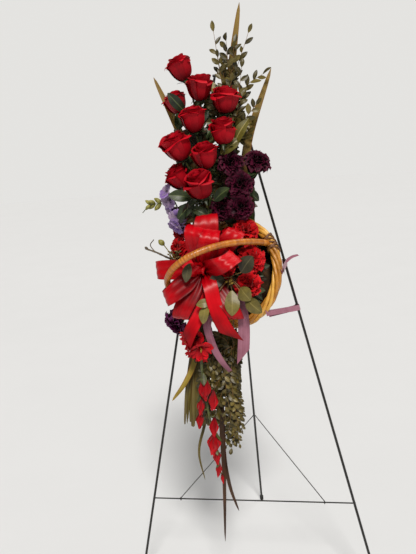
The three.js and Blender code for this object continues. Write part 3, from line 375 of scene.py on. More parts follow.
def blade_finish(name, dark, body, light, edge, lines=22):
    """A long strap leaf: fine lines along it, broad patches and browned edges."""
    f = Finish(name, 0.45, Specular_IOR_Level=0.4)
    streak = f.noise(lines, 3, f.form, (0.35, 1, 1))
    shade = f.total(0, (streak, 0.55), (f.noise(14, 4), 0.6), (f.tint, 0.12))
    tissue = f.tones(shade, (0.3, dark), (0.58, body), (0.9, light))
    f.colour(f.mix(f.mask(f.off_middle(), (0.78, 0), (0.97, 1)), tissue, edge))
    f.bump(streak, 0.4, 0.0008)
    return f.material


def satin_finish(name, deep, body, light, painted_highlight, turn=0.0):
    """Satin ribbon: streaks along it, which are painted sheen, patches that are painted crease shade in
    the colour and relief in the bump, a fine cross weave and darker selvedges. With turn it has
    painted shade where a loop is gathered at the knot and a painted highlight where the loop turns back."""
    f = Finish(name, 0.34, Specular_IOR_Level=0.2, Anisotropic=0.4)
    # Crease patches: painted crease shade in the colour, relief in the bump.
    crease = f.noise(26, 3)
    # Streaks along the ribbon: painted sheen.
    streak = f.noise(2.6, 3, f.form, (0.5, 1.3, 9))
    # 0 where a loop turns back, 1 in the knot: with turn, a painted highlight towards the fold and painted
    #                                           shade towards the knot.
    painted_shade_toward_knot = f.math("ABSOLUTE", f.total(-1, (f.along, 2)))
    shade = f.total(0.55 * turn, (crease, 0.45), (streak, 0.35), (f.tint, 0.16), (painted_shade_toward_knot, -turn))
    # The last colour is a painted highlight.
    cloth = f.tones(shade, (0.12, deep), (0.36, body), (0.66, light), (0.92, painted_highlight))
    f.colour(f.mix(f.mask(f.off_middle(), (0.93, 0), (0.97, 0.5)), cloth, deep))
    f.bump(f.total(0, (f.weave(), 0.03), (crease, 0.5)), 0.3, 0.0015)
    return f.material


def willow_finish(name, dark, body, light, coat=0.25):
    """Peeled and varnished willow: long fibres, each rod in its own tone."""
    f = Finish(name, 0.42, Coat_Weight=coat, Coat_Roughness=0.25)
    fibre = f.noise(30, 4, f.form, (14, 1.2, 5))
    shade = f.total(-0.25, (fibre, 0.6), (f.noise(40, 4), 0.55), (f.tint, 0.5))
    f.colour(f.tones(shade, (0.28, dark), (0.55, body), (0.85, light)))
    f.bump(fibre, 0.5, 0.0007)
    return f.material


def reed_finish(name, dark, body, light, grey_end):
    """Flat reed wound round the handle: each wrap has its own tone, with fibres along the wrap. The
    lower left end is greyer and darker."""
    f = Finish(name, 0.38, Coat_Weight=0.3, Coat_Roughness=0.25)
    wraps = f.noise(1, 1, f.form, (62, 0, 0))
    fibre = f.noise(60, 4, f.form, (40, 0.4, 0))
    shade = f.total(0, (wraps, 0.55), (fibre, 0.25), (f.noise(26, 3), 0.35))
    reed = f.tones(shade, (0.35, dark), (0.58, body), (0.85, light))
    f.colour(f.mix(f.mask(f.along, (0.74, 0), (0.86, 1)), reed, grey_end))
    f.bump(fibre, 0.35, 0.0005)
    return f.material


def plain_finish(name, dark, light, scale=90, roughness=0.5, bump=0.3, depth=0.0006):
    """A mottled surface with fine relief, for stems, bark, paint, rubber, plastic and foam."""
    f = Finish(name, roughness)
    grain = f.noise(scale, 5)
    shade = f.total(0, (grain, 0.6), (f.noise(scale * 0.17, 3), 0.5))
    f.colour(f.tones(shade, (0.38, dark), (0.72, light)))
    f.bump(grain, bump, depth)
    return f.material


# Foot, body, lighter and lip colours: the foot colour is painted shade and the lip colour a painted
# highlight, except the freesia's real pale throat.
rose_petal = petal_finish("rose_petal", (56, 0, 10), (138, 0, 16), (176, 0, 22), (196, 6, 30), 26, 0.0)
dark_petal = petal_finish("dark_carnation", (7, 0, 4), (20, 0, 9), (40, 1, 19), (84, 6, 42), 40, 0.03)
purple_petal = petal_finish("purple_flower", (28, 0, 26), (64, 4, 44), (96, 14, 66), (120, 40, 104), 40)
red_petal = petal_finish("red_carnation", (90, 0, 4), (160, 0, 8), (196, 4, 14), (214, 12, 26), 40, 0.08)
lilac_petal = petal_finish("freesia", (176, 166, 136), (98, 68, 140), (124, 92, 164), (164, 136, 198), 30)
gladiolus_petal = petal_finish("gladiolus", (60, 0, 8), (158, 0, 12), (194, 2, 20), (212, 14, 32), 26)
sword_blade = blade_finish("sword_leaf", (70, 56, 16), (118, 94, 34), (150, 122, 54), (132, 78, 18))
olive_blade = blade_finish("flax_olive", (78, 64, 16), (128, 108, 34), (164, 142, 62), (130, 74, 22))
bronze_blade = blade_finish("flax_bronze", (18, 11, 6), (42, 26, 12), (80, 50, 22), (84, 30, 12))
grass_blade = blade_finish("bear_grass", (42, 38, 14), (82, 72, 28), (116, 102, 48), (86, 56, 22), 12)
rose_leaf = leaf_finish("rose_leaf", (16, 23, 13), (36, 48, 25), (70, 84, 46), (84, 96, 56))
olive_leaf = leaf_finish("olive_leaf", (58, 54, 20), (98, 92, 36), (132, 122, 58), (150, 140, 84))
ruscus_leaf = leaf_finish("ruscus_leaf", (26, 24, 9), (70, 62, 24), (122, 108, 52), (96, 86, 42))
berry_leaf = leaf_finish("huckleberry_leaf", (26, 24, 8), (62, 54, 18), (104, 90, 36), (98, 86, 42))
light_leaf = leaf_finish("light_leaf", (46, 40, 15), (86, 74, 29), (128, 112, 52), (120, 106, 56))
# A darker copy of the eucalyptus leaf finish: painted shade for the leaves that lie in shade.
gum_painted_shade = leaf_finish(
    "eucalyptus_leaf_painted_shade", (30, 30, 20), (58, 55, 36), (88, 82, 52), (92, 86, 58), 0.5, 0.04)
brown_leaf = leaf_finish("brown_leaf", (30, 22, 12), (62, 44, 22), (98, 72, 38), (92, 72, 42))
gum_leaf = leaf_finish(
    "eucalyptus_leaf", (58, 52, 24), (104, 94, 44), (140, 128, 66), (134, 122, 72), 0.42, 0.04)
green_stem = plain_finish("green_stem", (34, 40, 18), (86, 92, 40), 120)
woody_stem = plain_finish("woody_stem", (66, 44, 20), (132, 92, 40), 140)
bark = plain_finish("bark", (48, 44, 40), (120, 106, 86), 160, 0.8, 0.8, 0.0012)
bud_skin = plain_finish("bud_skin", (76, 78, 30), (156, 150, 70), 110)
husk = plain_finish("dried_blossom", (58, 48, 22), (140, 118, 64), 260)
seed_skin = plain_finish("seed_skin", (110, 84, 20), (190, 156, 48), 300)
# Red satin with turn 0.46: painted highlights at the loops' folds and painted shade at the knot. Each
# satin's last colour is a painted highlight.
red_satin = satin_finish("red_satin", (66, 0, 6), (140, 0, 10), (188, 2, 18), (216, 30, 42), 0.46)
mauve_satin = satin_finish("mauve_satin", (92, 52, 66), (140, 88, 104), (168, 116, 134), (188, 140, 156))
willow = willow_finish("willow", (104, 56, 12), (194, 132, 40), (232, 186, 86))
willow_dark = willow_finish("willow_dark", (50, 26, 8), (104, 62, 22), (156, 108, 44), 0.1)
lashing = willow_finish("lashing", (50, 26, 10), (98, 56, 22), (150, 100, 46), 0.1)
handle_reed = reed_finish("handle_reed", (106, 52, 8), (180, 104, 24), (222, 154, 54), (88, 68, 54))
black_wire = plain_finish("black_wire", (10, 10, 9), (30, 28, 24), 260, 0.38, 0.25, 0.0003)
soft_tip = plain_finish("soft_tip", (14, 14, 13), (34, 33, 31), 300, 0.75, 0.3, 0.0003)
dark_plastic = plain_finish("dark_plastic", (70, 40, 18), (138, 88, 44), 150, 0.6, 0.5, 0.001)
wet_foam = plain_finish("wet_foam", (50, 32, 14), (98, 64, 32), 420, 0.9, 1.0, 0.0016)


# Easel and liner

def paint(names, material):
    """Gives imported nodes, which stay as they are, their finish."""
    for name in names:
        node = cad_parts[name]
        if not node.material_slots:
            node.data.materials.append(material)
        for holder in node.material_slots:
            holder.material = material


paint(["leg_left", "leg_right", "leg_back", "hinge_pin", "crossbar"], black_wire)
paint(["spreader_left", "spreader_right"], black_wire)
paint(["foot_left", "foot_right", "foot_back"], soft_tip)
paint(["liner"], dark_plastic)


# Basket

def bowl_radius(z):
    """The radius of the bowl at a height, which is 0 at the rim and falls below it."""
    swell = np.sin(math.pi / 2 * (1 + np.asarray(z, float) / BASKET_DEPTH))
    return BASKET_FLOOR_RADIUS + (WALL_RADIUS - BASKET_FLOOR_RADIUS) * swell


def basket():
    rng = np.random.default_rng(3)
    braided_rim(rng)
    woven_bowl(rng)
    wrapped_handle()
    lashed_joints(rng)


def braided_rim(rng):
    rim = Form()
    turn = HANDLE_TURN + np.linspace(0, 2 * math.pi, 300)
    for k in range(RIM_RODS):
        phase = 2 * math.pi * k / RIM_RODS + RIM_TWISTS * turn
        thick = 4.5 + 0.4 * math.sin(2.3 * k)
        offset = 0.87 * RIM_THICK - thick
        path = round_basket(RIM_RADIUS + offset * np.cos(phase), turn, offset * np.sin(phase))
        wobble = thick * (1 + 0.05 * np.sin(23 * turn + 2 * k) + 0.04 * np.sin(41 * turn + k))
        rim.tube(path, wobble, 9, 0, rng.uniform(0.2, 0.9))
    rim.tube(round_basket(RIM_RADIUS, turn, 0), 6.2, 8, 1, 0.1)
    rim.piece("rim_braid", [willow, lashing], ["basket_rim"], "willow")


def woven_bowl(rng):
    """Weavers that pass in turn before and behind the stakes, and a coiled floor."""
    wall = Form()
    turn = np.linspace(0, 2 * math.pi, 132)
    for row in range(WEAVERS):
        z = -BASKET_DEPTH + 6 + (BASKET_DEPTH - 20) * row / (WEAVERS - 1)
        radius = bowl_radius(z) - 2.6 + 1.5 * np.sin(STAKES / 2 * turn + math.pi * row)
        wall.tube(round_basket(radius, turn, z), WEAVER_RADIUS, 7, 0, rng.uniform(0.1, 0.9))
    z = np.linspace(-BASKET_DEPTH + 2, -12, 9)
    for k in range(STAKES):
        path = round_basket(bowl_radius(z) - 2.8, 2 * math.pi * (k + 0.5) / STAKES, z)
        wall.tube(path, STAKE_RADIUS, 6, 0, rng.uniform(0.1, 0.9))
    turn = np.linspace(0, 2 * math.pi * FLOOR_COILS, 320)
    radius = np.linspace(3, BASKET_FLOOR_RADIUS + 1, 320)
    wall.tube(round_basket(radius, turn, -BASKET_DEPTH + 3.4 + 1.4 * np.sin(4 * turn)), 3.3, 6, 0, 0.4)
    wall.piece("bowl_weave", [willow_dark], ["basket_wall"], "willow_dark")


def wrapped_handle():
    """The handle's arch, with a groove between the wraps of reed."""
    handle = Form()
    angle = np.linspace(0.02, math.pi - 0.02, 260)
    rise = HANDLE_FOOT + (HANDLE_HEIGHT - HANDLE_FOOT) * np.sin(angle)
    path = round_basket((RIM_RADIUS - 2) * np.cos(angle), HANDLE_TURN, rise)
    length = np.concatenate([[0], np.cumsum(np.linalg.norm(np.diff(path, axis=0), axis=1))])
    sides = 16
    wrap = length[:, None] / REED_WIDTH + np.arange(sides)[None] / sides
    groove = 1 - 0.11 * np.exp(-((wrap % 1 - 0.5) / 0.13) ** 2)
    handle.tube(path, HANDLE_RADIUS * 1.02, sides, 0, 0.5, groove)
    handle.piece("handle_wrap", [handle_reed], ["basket_handle"], "willow")


def lashed_joints(rng):
    """Rings of cane round the rim where the handle meets it."""
    ties = Form()
    ring = np.linspace(0, 2 * math.pi, 22)
    for side in (math.pi, 0):
        for k in range(LASHINGS):
            turn = HANDLE_TURN + side + (k - LASHINGS // 2) * 0.032 + 0.05 * np.sin(ring + k)
            radius = RIM_RADIUS + LASHING_REACH * np.cos(ring)
            path = round_basket(radius, turn, LASHING_REACH * np.sin(ring))
            ties.tube(path, 1.9, 6, 0, rng.uniform(0.1, 0.9))
    ties.piece("handle_lashing", [lashing], [], "willow_dark")


def foam_top():
    """The wet foam: a crumbling block with a rounded lip."""
    foam = Form()
    rng = np.random.default_rng(5)
    rows = [
        (-74, 44), (-60, 74), (-45, 92), (-14, FOAM_RADIUS), (6, FOAM_RADIUS),
        (FOAM_ABOVE_RIM - 7, FOAM_RADIUS), (FOAM_ABOVE_RIM - 1.5, FOAM_RADIUS - 3),
        (FOAM_ABOVE_RIM, FOAM_RADIUS - 9), *[(FOAM_ABOVE_RIM, r) for r in (60, 48, 36, 24, 12, 2)],
    ]
    turn = np.linspace(0, 2 * math.pi, 64, endpoint=False)
    points = []
    for z, radius in rows:
        ring = radius - rng.uniform(0, 1.2, len(turn))
        points.append(round_basket(ring, turn, z - rng.uniform(0, 1.2, len(turn))))
    foam.grid(np.array(points), 0, 0.5, closed=True)
    foam.piece("foam_block", [wet_foam], ["foam"], "foam")


# Roses: whorls of petals, from the outer ones to the tight middle. Each whorl has its number of
# petals, a petal's half angle, how far its lip rolls back, and its profile: points of radius and
# height, as shares of the bloom's.
ROSE_WHORLS = [
    (3, 1.12, 1.0, [(0.05, 0.0), (0.40, 0.05), (0.70, 0.24), (0.86, 0.50), (0.95, 0.78), (1.03, 0.97)]),
    (3, 1.12, 0.9, [(0.05, 0.01), (0.38, 0.07), (0.66, 0.27), (0.81, 0.54), (0.88, 0.82), (0.95, 1.01)]),
    (4, 0.95, 0.6, [(0.05, 0.03), (0.34, 0.11), (0.59, 0.31), (0.71, 0.58), (0.76, 0.84), (0.80, 1.03)]),
    (3, 1.25, 0.4, [(0.05, 0.05), (0.28, 0.15), (0.49, 0.38), (0.58, 0.64), (0.60, 0.88), (0.62, 1.05)]),
    (3, 1.25, 0.25, [(0.04, 0.08), (0.22, 0.2), (0.38, 0.44), (0.45, 0.7), (0.45, 0.9), (0.43, 1.05)]),
    (3, 1.3, 0.1, [(0.04, 0.12), (0.16, 0.24), (0.28, 0.48), (0.32, 0.72), (0.29, 0.92), (0.25, 1.04)]),
    (2, 1.9, 0.0, [(0.03, 0.14), (0.1, 0.3), (0.17, 0.5), (0.19, 0.74), (0.14, 0.92), (0.08, 1.01)]),
]
# Each bloom: its centre, the way it faces, and its size
ROSES = [
    ((-91, 20, 1342), (-0.35, -0.25, 1), 0.98), ((-45, -8, 1288), (0.05, -0.3, 1), 1.0),
    ((12, -8, 1253), (0.05, -0.25, 1), 1.02), ((-112, 34, 1264), (-0.3, -0.1, 1), 0.88),
    ((-64, -36, 1212), (-0.12, -0.35, 1), 0.98), ((4, -40, 1178), (0, -0.25, 1), 0.98),
    ((-103, -58, 1150), (-0.45, -0.55, 1), 1.1), ((-38, -68, 1124), (-0.1, -0.45, 1), 0.98),
    ((-110, -28, 1080), (-0.65, -0.45, 1), 0.96), ((-54, -88, 1056), (-0.2, -0.7, 1), 1.08),
]


def rose(number, centre, axis, size):
    rng = np.random.default_rng(100 + number)
    form = Form()
    radius, tall = 0.87 * ROSE_RADIUS * size, 0.93 * ROSE_HEIGHT * size
    base = np.array(centre) - 0.43 * ROSE_HEIGHT * size * unit(axis)
    axes = axes_for(np.array(axis) * (1, 0.55, 1))
    t = np.linspace(0, 1, 17)[:, None]
    s = np.linspace(-1, 1, 17)[None]
    turn = rng.uniform(0, 6)
    for whorl, (count, half, roll, profile) in enumerate(ROSE_WHORLS):
        path = curve([(r, h, 0) for r, h in profile], 60)
        turn += math.pi / count * 1.13
        for k in range(count):
            tall_of = rng.uniform(0.74 + 0.1 * min(whorl, 2), 1.03)
            tip = 0.08 * rng.uniform(0.6, 1.5) if whorl < 4 else 0.05
            reach = np.clip(t * (1 - tip * np.abs(s) ** 1.5), 0, 1) * 59
            r, h = (np.interp(reach, np.arange(60), path[:, i]) for i in (0, 1))
            r = r * (1 + 0.12 * (s**2 - 0.35) * blend_in(t, 0.15, 0.6))
            r = r + (0.07 * s + 0.05 * np.abs(s)**5) * blend_in(t, 0.05, 0.4)
            fold = rng.uniform(0.6, 1.25) * roll
            lip = fold * blend_in(t, 0.72, 1.0) * (0.75 + 0.35 * blend_in(np.abs(s), 0.1, 0.75))
            crease = 0.03 * np.sin(2.6 * s + 5 * k + whorl) * blend_in(t, 0.3, 0.9)
            r = r + 0.17 * lip + crease
            h = h * tall_of - 0.16 * lip * blend_in(t, 0.84, 1.0)
            narrow = 0.5 + 0.5 * blend_in(t, 0, 0.4)
            angle = turn + 2 * math.pi * k / count + rng.uniform(-0.14, 0.14) + s * half * narrow
            form.grid(round_axis(base, axes, radius * r, angle, tall * h), 0, rng.uniform(0, 0.7))
    form.piece(f"rose_bloom_{number:02d}", [rose_petal], [f"rose_{number:02d}"], "rose_petal")


def roses():
    for i, (centre, axis, size) in enumerate(ROSES):
        rose(i + 1, centre, axis, size)


# Carnations: tiers of fringed and ruffled petals. Each tier has its number of petals, how far it
# leans from the axis in degrees, and its reach.
CARNATION_TIERS = [(8, 104, 0.92), (8, 82, 1.04), (7, 62, 1.04), (7, 43, 1.0), (6, 25, 0.96), (3, 10, 0.9)]
# Each carnation and the ruffled flower: its centre, the way it faces, and its size
CARNATIONS = {
    "dark_carnation": [
        ((80, -2, 1109), (0.45, -0.5, 1), 1), ((17, -30, 1111), (0.1, -0.7, 1), 0.95),
        ((38, -44, 1058), (0.35, -0.9, 0.6), 1), ((37, -58, 1002), (0.35, -1, 0.2), 0.95),
        ((-14, -36, 1000), (-0.1, -1, 0.3), 0.9),
    ],
    "red_carnation": [
        ((-128, 28, 953), (-0.9, -0.4, 0.4), 0.9), ((-134, 0, 903), (-1, -0.5, 0.1), 0.92),
        ((43, -52, 948), (0.3, -0.8, 0.7), 0.95), ((54, -80, 878), (0.5, -1, 0.1), 1),
        ((44, -92, 818), (0.4, -1, -0.3), 0.95), ((-18, -68, 866), (-0.2, -1, 0.3), 1),
    ],
    "purple_flower": [((-146, -54, 720), (-0.7, -0.4, -0.6), 1)],
}
# The looser tiers of the ruffled purple flower
LOOSE_TIERS = [(7, 98, 1.16), (7, 74, 1.14), (6, 50, 1.02), (4, 26, 0.84)]


CARNATION_PETALS = {
    "dark_carnation": dark_petal, "red_carnation": red_petal, "purple_flower": purple_petal,
}


def carnation(node, kind, centre, axis, size, seed):
    rng = np.random.default_rng(seed)
    form = Form()
    radius = CARNATION_RADIUS * size
    x, y, z = axes_for(axis, 0.9 * seed)
    base = np.array(centre) - 0.42 * radius * z
    t = np.linspace(0, 1, 9)[:, None]
    s = np.linspace(-1, 1, 19)[None]
    tooth = np.where(np.arange(19) % 2 == 0, 1.0, -1.0)[None]
    tiers = LOOSE_TIERS if kind == "purple_flower" else CARNATION_TIERS
    for tier, (count, lean, reach) in enumerate(tiers):
        for k in range(count):
            angle = 2 * math.pi * (k + 0.5 * tier) / count + rng.uniform(-0.3, 0.3)
            out = outward(x, y, angle)
            side = np.cross(z, out)
            length = radius * reach * rng.uniform(0.88, 1.1)
            polar = math.radians(lean + rng.uniform(-10, 10)) * (0.45 + 0.55 * t)
            forward = length * t * (1 - 0.16 * s**2 * t) * (1 + 0.018 * tooth * t**8)
            width = length * (0.10 + 0.62 * t**0.9)
            swing = rng.uniform(1.9, 2.9)
            phase = rng.uniform(0, 6)
            ruffle = length * 0.15 * t**1.4 * np.sin(math.pi * swing * s + phase)
            ruffle = ruffle + length * 0.06 * t**3 * np.sin(math.pi * 5.3 * s + 2 * phase)
            curl = length * 0.10 * rng.uniform(-0.4, 1.2) * blend_in(t, 0.6, 1.0)
            up = np.cos(polar) * forward + np.sin(polar) * (ruffle - curl)
            away = np.sin(polar) * forward - np.cos(polar) * (ruffle - curl)
            points = base + up[..., None] * z + away[..., None] * out + (s * width)[..., None] * side
            form.grid(points, 0, rng.uniform(0, 0.9))
    form.piece(f"{node}_head", [CARNATION_PETALS[kind]], [node], kind)


def carnations():
    seed = 40
    for kind, heads in CARNATIONS.items():
        for i, (centre, axis, size) in enumerate(heads):
            node = kind if kind == "purple_flower" else f"{kind}_{i + 1}"
            seed += 1
            carnation(node, kind, centre, axis, size, seed)


def spindle(form, base, tip, radius, finish=0, tint=0.5, bend=0.0, sides=8, fat=0.55):
    """A closed bud: a pointed body from its base to its tip, fattest at fat of its length."""
    base, tip = np.asarray(base, float), np.asarray(tip, float)
    t = np.linspace(0, 1, 10)
    sideways = axes_for(tip - base)[0]
    path = base + np.outer(t, tip - base) + np.outer(np.sin(math.pi * t) * bend, sideways)
    swell = np.where(t < fat, np.sin(math.pi / 2 * np.clip(t / fat, 0, 1)) ** 0.7,
                     np.cos(math.pi / 2 * np.clip((t - fat) / (1 - fat), 0, 1)) ** 0.8)
    form.tube(path, 0.25 + radius * swell, sides, finish, tint)


def nearest_on(way, point):
    """The point nearest to a given one on the smooth curve through way."""
    path = curve(way, 60)
    return path[np.argmin(np.linalg.norm(path - np.asarray(point, float), axis=1))]


# Stems: where each bunch leaves the foam, as in the part. A side pick has its angle round the foam
# and its height, a front pick its place across and up the foam's face.
SIDE_PICKS = {
    "sword_leaf_centre": (90, 2), "sword_leaf_left": (112, 2), "sword_leaf_right": (64, 2),
    "ruscus": (77, 4), "rose_greens_low": (97, 13), "rose_greens_high": (120, 10),
    "dark_carnation_greens": (79, 14), "freesia_greens": (140, 8), "side_carnation_greens": (156, 8),
    "twig": (172, 8), "flax_leaf_olive": (231, 8), "bear_grass": (243, 0),
    "gladiolus_greens": (252, 12), "flax_leaves_bronze": (267, 6), "huckleberry": (283, 10),
}
FRONT_PICKS = {
    "ribbon_tails": (24, -50), "eucalyptus": (40, -18), "bow": (-34, 10), "red_carnation_greens": (10, 8),
}


def root_of(name):
    """The first points of a bunch's stems: in the foam's face, and over the rim for a side pick."""
    if name in FRONT_PICKS:
        return [in_basket(*FRONT_PICKS[name], FOAM_ABOVE_RIM + 1)]
    turn, out = SIDE_PICKS[name]
    over_rim = (122, max(21, out + 8))
    return [round_basket(radius, math.radians(turn), z) for radius, z in ((FOAM_RADIUS + 1, out), over_rim)]


def oval(half, count, shape=0.8):
    """Half widths along a leaf that is widest in its middle."""
    a = np.linspace(0, 1, count)
    return 0.3 + half * np.sin(math.pi * np.minimum(1, a * 0.97 + 0.015)) ** shape


def broad_leaf(form, start, end, half, facing, finish, tint, arch=0.12, wave=0.05, fold=0.22, rows=12):
    """An oval leaf from start to end that arches towards its front."""
    start, end = np.asarray(start, float), np.asarray(end, float)
    middle = (start + end) / 2 + unit(facing) * arch * np.linalg.norm(end - start)
    form.leaf(curve([start, middle, end], rows), facing, oval(half, rows), fold, 8, finish, tint, wave)


def small_leaf(form, way, count, facing, half, fold, finish, tint):
    """A narrow leaf or sepal along a smooth curve."""
    form.leaf(curve(way, count), facing, oval(half, count), fold, 4, finish, tint)


def leafy(form, way, pairs, length, width, facing, finish, seed, first=0.2, spread=0.9, stem=1.1,
          stem_finish=1):
    """A stem with leaves in turn on its two sides and one at its tip."""
    rng = np.random.default_rng(seed)
    path = curve(way, 36)
    form.tube(path, np.linspace(stem, stem * 0.45, 36), 5, stem_finish, rng.uniform(0, 1))
    way_at = tangents(path)
    for i in range(pairs):
        a = first + (1 - first) * i / max(1, pairs - 1)
        at = min(int(a * 35), 35)
        side = unit(np.cross(way_at[at], facing)) * (1 if i % 2 == 0 else -1)
        lean = 0 if i == pairs - 1 else spread * rng.uniform(0.75, 1.25)
        lift = rng.uniform(-0.6, 0.6)
        direction = unit(way_at[at] + side * lean + np.asarray(facing) * lift)
        size = (1 - 0.25 * a) * rng.uniform(0.82, 1.12)
        face = unit(np.asarray(facing) + rng.uniform(-0.5, 0.5, 3))
        end = path[at] + direction * length * size
        tint, arch = rng.uniform(0, 1), rng.uniform(-0.05, 0.16)
        broad_leaf(form, path[at], end, width / 2 * size, face, finish, tint, arch, 0.06, 0.2, 8)


def calyx(form, base, axis, radius, seed):
    """The green cup under a bloom with five turned sepals."""
    rng = np.random.default_rng(seed)
    x, y, z = axes_for(axis, seed)
    t = np.linspace(0, 1, 8)
    cup = 1.8 + (radius - 1.8) * np.sin(math.pi / 2 * t) ** 1.4
    form.tube(base + np.outer(-11 + 11 * t, z), cup, 10, 1, 0.5)
    for k in range(5):
        out = outward(x, y, 2 * math.pi * k / 5)
        drop = rng.uniform(-8, 4)
        way = [base - 4 * z + out * radius * 0.7, base + out * (radius + 7) + z * rng.uniform(-2, 3),
               base + out * (radius + 16) + z * drop]
        form.leaf(curve(way, 8), z, oval(3.4, 8, 0.7), 0.3, 4, 1, rng.uniform(0, 1), 0.1)


ROSE_BUNCHES = {
    "rose_greens_high": {
        "knot": (-48, 30, 1090), "roses": (1, 2, 3, 4),
        "leaves": [
            ((-84, 0, 1236), (-122, -18, 1286), 13), ((-70, 22, 1196), (-104, 6, 1236), 13),
            ((-14, 24, 1160), (36, 18, 1206), 13),
        ],
    },
    "rose_greens_low": {
        "knot": (-46, -10, 985), "roses": (5, 6, 7, 8, 9, 10),
        "leaves": [
            ((-6, -26, 1128), (44, -24, 1160), 16), ((22, -18, 1140), (66, -22, 1206), 14),
            ((-28, -38, 1020), (12, -62, 1048), 14), ((-80, -26, 1030), (-138, -38, 1042), 15),
        ],
    },
}
# Points that two of the roses' stems pass by on their way
ROSE_BY = {6: (-26, -10, 1110), 7: (-58, -30, 1083)}
# Leaves behind the blooms: the box they lie in, how many, and the finishes they are drawn from
FILL_LEAVES = {
    "rose_greens_high": [
        ((-112, 8, 1150), (-30, 40, 1262), 12, (1, 1, 4)),
        ((-34, 22, 1120), (34, 42, 1262), 16, (1, 2, 2, 4)),
        ((-66, 20, 1250), (-20, 40, 1300), 4, (2, 4)), ((-88, 14, 1148), (-32, 34, 1184), 9, (1, 1, 4)),
    ],
    "rose_greens_low": [
        ((-104, -14, 1000), (-40, 26, 1150), 18, (1, 1, 4)),
        ((-40, 0, 1010), (28, 26, 1150), 22, (1, 1, 2, 4)),
        ((-104, -54, 972), (-52, -20, 1012), 13, (1, 1, 4)), ((-30, -8, 976), (30, 14, 1036), 9, (1, 4)),
        ((-60, 16, 980), (30, 30, 1150), 24, (1, 4)), ((-72, -8, 980), (-36, 14, 1016), 5, (1, 4)),
    ],
}


def fill_leaves(form, ways, low, high, count, tones, facing, rng):
    """Leaves on short stalks that fill the space behind the blooms."""
    paths = np.vstack([curve(way, 40) for way in ways])
    for _ in range(count):
        middle = rng.uniform(low, high)
        start = paths[np.argmin(np.linalg.norm(paths - middle, axis=1))]
        lean = unit(rng.normal(0, 1, 3) * (1, 0.35, 1) + (0, 0, 0.5))
        length = rng.uniform(38, 58)
        foot, tip = middle - lean * length / 2, middle + lean * length / 2
        form.stem([start, (start + foot) / 2 + (0, 2, -4), foot], 8, 0.9, 5, 0, rng.uniform(0, 1))
        face = unit(np.array(facing) + rng.uniform(-0.55, 0.55, 3))
        half, tone, tint = rng.uniform(10, 15), int(rng.choice(tones)), rng.uniform(0, 1)
        broad_leaf(form, foot, tip, half, face, tone, tint, 0.1, 0.07)


def rose_greens():
    front = unit((-0.2, -0.9, 0.3))
    for name, bunch in ROSE_BUNCHES.items():
        form = Form()
        knot = np.array(bunch["knot"], float)
        ways = [[*root_of(name), knot]]
        for number in bunch["roses"]:
            centre, axis, size = ROSES[number - 1]
            axis = unit(axis)
            base = np.array(centre) - 0.45 * ROSE_HEIGHT * size * axis
            by = [ROSE_BY[number]] if number in ROSE_BY else []
            ways.append([knot, *by, base - 30 * axis, base - 7 * axis])
            calyx(form, base + 2 * axis, axis, 8.5, number)
        for i, way in enumerate(ways):
            form.stem(way, 26, 2.3, 8, 0, 0.3 + 0.1 * i)
        for i, (start, end, half) in enumerate(bunch["leaves"]):
            stalk = min((nearest_on(way, start) for way in ways), key=lambda p: np.linalg.norm(p - start))
            form.stem([stalk, start], 6, 1.2, 6, 0, 0.4)
            tone = 2 if (name == "rose_greens_low" and i in (0, 1)) else 1
            broad_leaf(form, start, end, half, front, tone, 0.2 + 0.2 * i, 0.1, 0.08)
        rng = np.random.default_rng(len(name))
        for low, high, count, tones in FILL_LEAVES[name]:
            fill_leaves(form, ways, low, high, count, tones, front, rng)
        form.tube([knot - (0, 0, 6), knot, knot + (0, 0, 6)], 6, 10, 3, 0.4)
        finishes = [green_stem, rose_leaf, olive_leaf, woody_stem, brown_leaf]
        form.piece(f"{name}_leafy", finishes, [name], "rose_green")


def mouth_leaves(form):
    """Dark leaves that hide the foam, spread over it and out to the basket's wall."""
    rng = np.random.default_rng(31)
    count = 120
    for k in range(count):
        turn = 2.4 * k
        radius = 96 * math.sqrt((k + 0.5) / count)
        foot = round_basket(0.8 * radius, turn, FOAM_ABOVE_RIM + 1)
        bend = turn + rng.uniform(-0.35, 0.35)
        reach = min(radius + rng.uniform(18, 30), 112)
        out = FOAM_ABOVE_RIM + rng.uniform(2, 14) - rng.uniform(0.5, 1.3) * max(0, reach - 86)
        tip = round_basket(reach, bend, out)
        face = unit(OUT + rng.uniform(-0.5, 0.5, 3))
        tone = int(rng.choice((1, 2, 2)))
        broad_leaf(form, foot, tip, rng.uniform(8, 12), face, tone, rng.uniform(0, 1), 0.12, 0.08)


# The blooms of each bunch: their kind, which of its heads, and points the stem passes by
CARNATION_STEMS = {
    "dark_carnation_greens": [("dark_carnation", i, ()) for i in range(5)],
    "side_carnation_greens": [
        ("red_carnation", 0, ()), ("red_carnation", 1, ()),
        ("purple_flower", 0, ((-126, 30, 850), (-140, -10, 790))),
    ],
    "red_carnation_greens": [
        ("red_carnation", 2, ((8, -40, 884),)), ("red_carnation", 3, ((12, -44, 862),)),
        ("red_carnation", 4, ((8, -48, 846),)), ("red_carnation", 5, ()),
    ],
}


